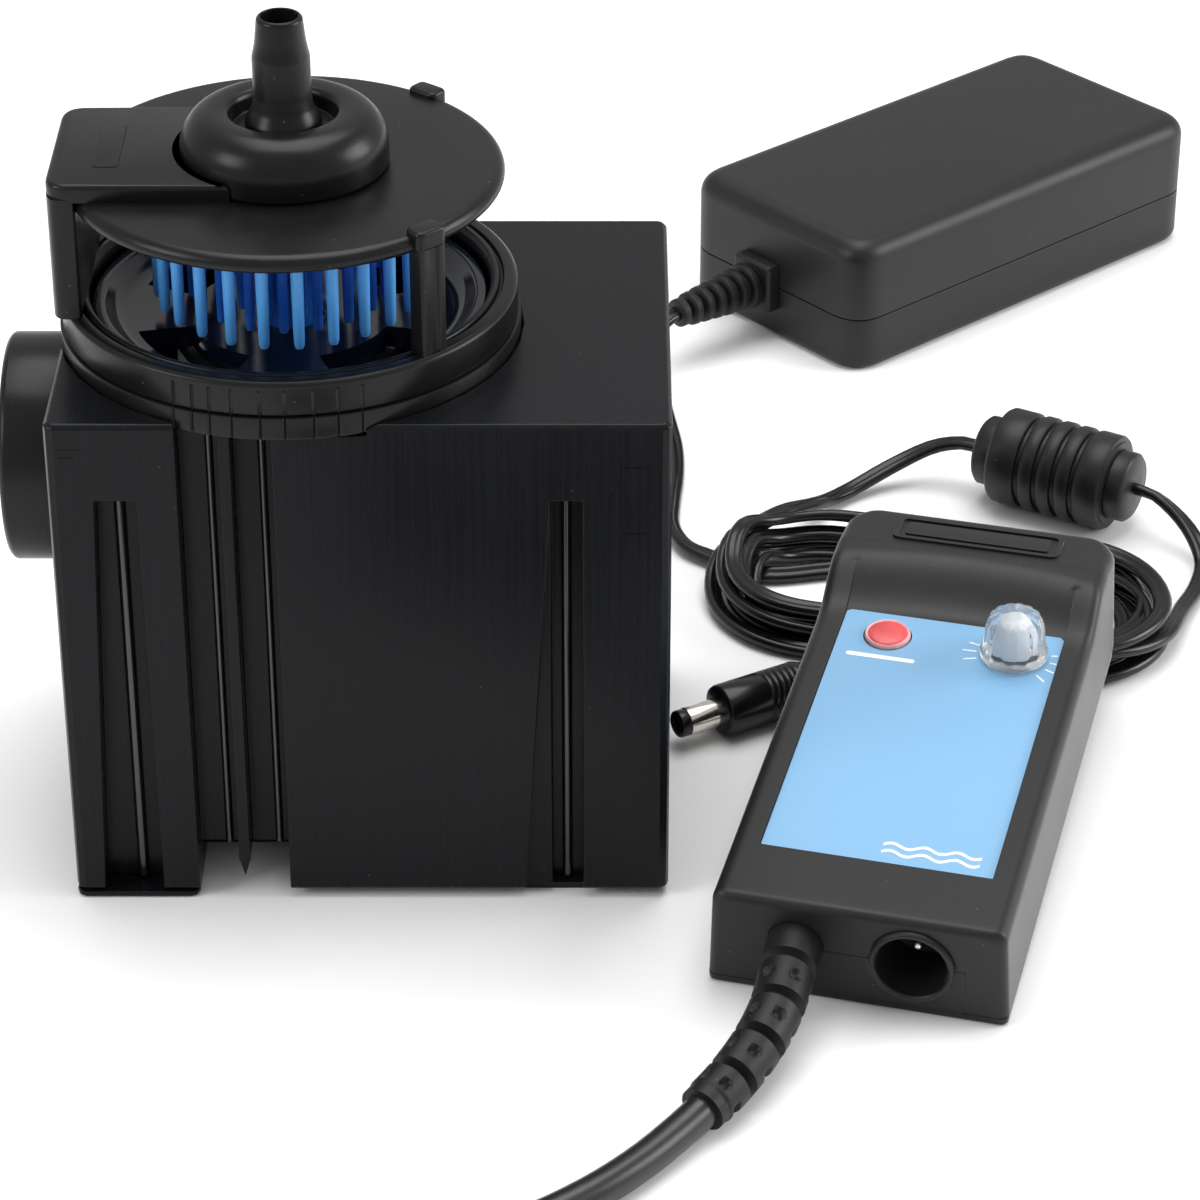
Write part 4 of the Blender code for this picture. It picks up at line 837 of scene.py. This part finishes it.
# ---------------------------------------------------------------- supply
def supply():
    finish = FINISH["case_plastic"]
    plan = rounded(0, 106, 0, 54, 8.0, 12)
    inlet = plate(rounded(101.9, 108, 14.7, 39.3, 0.4, 2), 6.3, 22.9)
    boot_hole = shifted(lying(turned([(0, 0), (3.3, -1), (3.3, 4), (0, 0)], 32), "x"), LEAD_HOLE)
    piece("supply_base", plate(plan, 0.0, 12.2, 2.4, 0.15, 8), finish, ["supply_lower_shell"],
          place=SUPPLY, cuts=[inlet, boot_hole])
    piece("supply_cover", plate(plan, 12.42, 30.0, 0.15, 4.6, 12), finish, ["supply_upper_shell"],
          place=SUPPLY, cuts=[inlet, boot_hole])
    eased_copy("mains_socket", "mains_inlet", finish, 0.4)
    flange = lying(plate(rounded(-5.6, 5.6, -5.6, 5.6, 1.2), 0.1, 3.3, 0.0, 0.9), "x")
    ribs = [(0, 0), (3.0, -3.4), (3.0, 1.0), (4.6, 1.0), (4.6, 3.6)]
    for i in range(6):
        start, r = 3.9 + 3.15 * i, 5.2 - 0.3 * i
        ribs += [(r - 1.7, start), (r - 0.15, start + 0.5), (r, start + 0.8), (r - 0.1, start + 2.0),
                 (r - 0.4, start + 2.2), (r - 1.7, start + 2.5)]
    ribs += [(2.6, 23.0), (3.1, 23.3), (3.1, 24.7), (2.7, 25.0), (0, 0)]
    piece("supply_boot", joined(flange, lying(turned(ribs, 72), "x")), FINISH["rubber"],
          ["supply_strain_relief"], place=BOOT, edge=50)


# ---------------------------------------------------------------- pieces on the cords
def choke():
    rings = [(-12.4, 6.4), (-5.2, 3.2), (-1.2, 3.2), (2.8, 3.2), (6.8, 5.6)]
    profile = [(0, 0), (2.6, -16.8), (6.4, -16.6), (7.1, -15.9), (7.2, -13.0), (6.9, -12.8)]
    for start, wide in rings:
        profile += [(8.6, start), (9.4, start + 0.15), (9.8, start + 0.8), (9.8, start + wide - 0.6),
                    (9.5, start + wide - 0.1), (8.7, start + wide), (8.5, start + wide + 0.4)]
    profile += [(6.9, 12.9), (7.2, 13.1), (7.1, 15.9), (6.4, 16.6), (2.6, 16.8), (0, 0)]
    return piece("choke_shell", lying(turned(profile, 96), "x"), FINISH["case_plastic"],
                 ["ferrite_choke"], place=CHOKE, edge=50)


def plug():
    tip = soft([(1.2, 0.0), (2.4, 0.0), (2.6, 0.3), (2.6, 2.0), (1.2, 2.0)], 0.15, steps=2)
    insulator = piece("plug_tip", lying(turned(tip, 48), "x"), FINISH["cord_pvc"], place=PLUG)
    metal = soft([(1.25, 2.0), (2.72, 2.0), (2.75, 9.5), (1.25, 9.5)], 0.12, steps=2)
    barrel = piece("plug_barrel", lying(turned(metal, 64), "x"), FINISH["nickel"], ["dc_plug_barrel"],
                   place=PLUG)
    rings = [(5.0 if i % 3 else 4.72, 18.6 + 0.42 * i) for i in range(18)]
    rows = np.linspace(27.6, 39.3, 90)
    profile = [(0, 0), (4.3, 9.1), (4.75, 9.3), (5.0, 9.9), (5.0, 18.2), *rings, (5.0, 26.3), (4.7, 27.2),
               *np.stack([4.45 - 0.09 * (rows - 27.6), rows], -1), (3.1, 39.8), (2.6, 40.0), (0, 0)]

    def slots(r, z, a):
        """Four slots over the top of the relief and small windows below them, with the top at 180 degrees."""
        cut = 0.0
        for i in range(4):
            cut = cut + 1.1 * near(z, 29.6 + 2.5 * i, 1.15, 0.2) * near(a, np.pi, math.radians(150), 0.2)
            for degrees in (78, 282):
                cut = cut + 0.8 * near(z, 29.6 + 2.5 * i, 1.0, 0.2) * near(a, math.radians(degrees), 0.3, 0.1)
        return -cut * (r < 4.6) * (z > 28)

    body = piece("plug_body", lying(turned(profile, 96, proud=slots), "x"), FINISH["cord_pvc"],
                 ["dc_plug_body"], place=PLUG, edge=50)
    return [insulator, barrel, body]


def connector():
    rows = np.linspace(11, 25, 30)
    profile = [(0, 0), (3.5, 0.0), (3.9, 0.4), (4.6, 7.6), (5.0, 8.4), (6.2, 8.8), (6.5, 9.3),
               *np.stack([np.full_like(rows, 6.5), rows], -1), (6.5, 35.3), (6.1, 35.9), (5.6, 36.0), (5.2, 35.7),
               (5.2, 27.0), (0, 0)]

    def grip(r, z, a):
        """Eighteen shallow finger grooves along the body: a depth times the cube of half of 1 + cos 18a."""
        count, depth = 18, 0.45
        return -depth * (0.5 + 0.5 * np.cos(count * a)) ** 3 * near(z, 18, 12, 1.0) * (r > 6.2)

    body = piece("cable_socket", lying(turned(profile, 144, proud=grip), "x"), FINISH["rubber"],
                 ["motor_connector"], place=CONNECTOR, edge=50)
    pin, apart = [(0, 0), (0.55, 26.6), (0.55, 33.4), (0.3, 33.8), (0, 0)], 2.6
    pins = [turned(pin, 16, (apart * math.cos(a), apart * math.sin(a))) for a in np.radians((90, 210, 330))]
    pins = piece("socket_contacts", lying(joined(*pins), "x"), FINISH["nickel"], place=CONNECTOR)
    return [body, pins]


def coil_tie():
    """A strap round the coil's bundle: an eased rectangle in the radial plane, carried 11 mm along the coil."""
    loop = rounded(22.8, 42.9, 0.75, 19.0, 4.0, 8)
    inner, outer = drawn_in(loop, 0.05), drawn_in(loop, -0.7)
    turn = math.radians(205)
    rows = []
    for side, edge in ((inner, -5.5), (outer, -5.5), (outer, 5.5), (inner, 5.5)):
        x = COIL_CENTRE[0] + side[:, 0] * math.cos(turn) - edge * math.sin(turn)
        y = COIL_CENTRE[1] + side[:, 0] * math.sin(turn) + edge * math.cos(turn)
        rows.append(np.stack([x, y, side[:, 1]], -1))
    return piece("coil_strap", skin(np.stack(rows, 1), True), FINISH["strap"])


# ---------------------------------------------------------------- studio
def studio():
    floor = bpy.data.meshes.new("floor")
    half, level = 8, -0.00005
    corners = [(-half, -half, level), (half, -half, level), (half, half, level), (-half, half, level)]
    floor.from_pydata(corners, [], [(0, 1, 2, 3)])
    obj = bpy.data.objects.new("floor", floor)
    bpy.context.scene.collection.objects.link(obj)
    pale = Finish("floor_paint", Specular_IOR_Level=0.15)
    tone = pale.noise(60.0, 2)
    floor.materials.append(pale.dress(pale.mix(tone, (0.93, 0.93, 0.93), (0.955, 0.955, 0.955)), 0.8 + 0.05 * tone))
    world = bpy.data.worlds.new("studio")
    bpy.context.scene.world = world
    world.use_nodes = True
    world.node_tree.nodes["Background"].inputs[0].default_value = (1.0, 1.0, 1.0, 1.0)
    world.node_tree.nodes["Background"].inputs[1].default_value = 0.55
    lights = (("overhead", (0.1, 0.25, 1.25), (0.07, 0.02, 0.0), 1.0, 13.0),
              ("left_window", (-1.0, -0.5, 0.7), (0.0, 0.0, 0.06), 0.5, 5.0),
              ("right_window", (1.2, 0.1, 0.5), (0.1, 0.0, 0.03), 0.6, 9.0))
    for name, at, aim, size, power in lights:
        data = bpy.data.lights.new(name, "AREA")
        data.size, data.energy = size, power
        lamp = bpy.data.objects.new(name, data)
        bpy.context.scene.collection.objects.link(lamp)
        lamp.location = at
        lamp.rotation_euler = (Vector(aim) - Vector(at)).to_track_quat("-Z", "Y").to_euler()
    bpy.context.scene.view_settings.view_transform = "Standard"


def dress_remaining_nodes():
    """Every CAD node that still shows gets the finish of its record slot."""
    slots = {part["node"]: part["material_slot"] for part in frame["record"]["subparts"]}
    for name, node in frame["nodes"].items():
        if node.hide_render:
            continue
        for holder in node.material_slots:
            holder.material = FINISH[slots[name]]


studio_camera()
lead_cord, lead_path = lead()
pump_cord, pump_path = motor_cable()
pump_block()
outlet()
wheel()
cage()
air_cap()
controller()
button_and_knob()
controller_relief()
supply()
on_lead = [choke(), *plug()]
on_cable = [*connector(), coil_tie()]
(lead_path * MM).tolist()
(pump_path * MM).tolist()
studio()
dress_remaining_nodes()
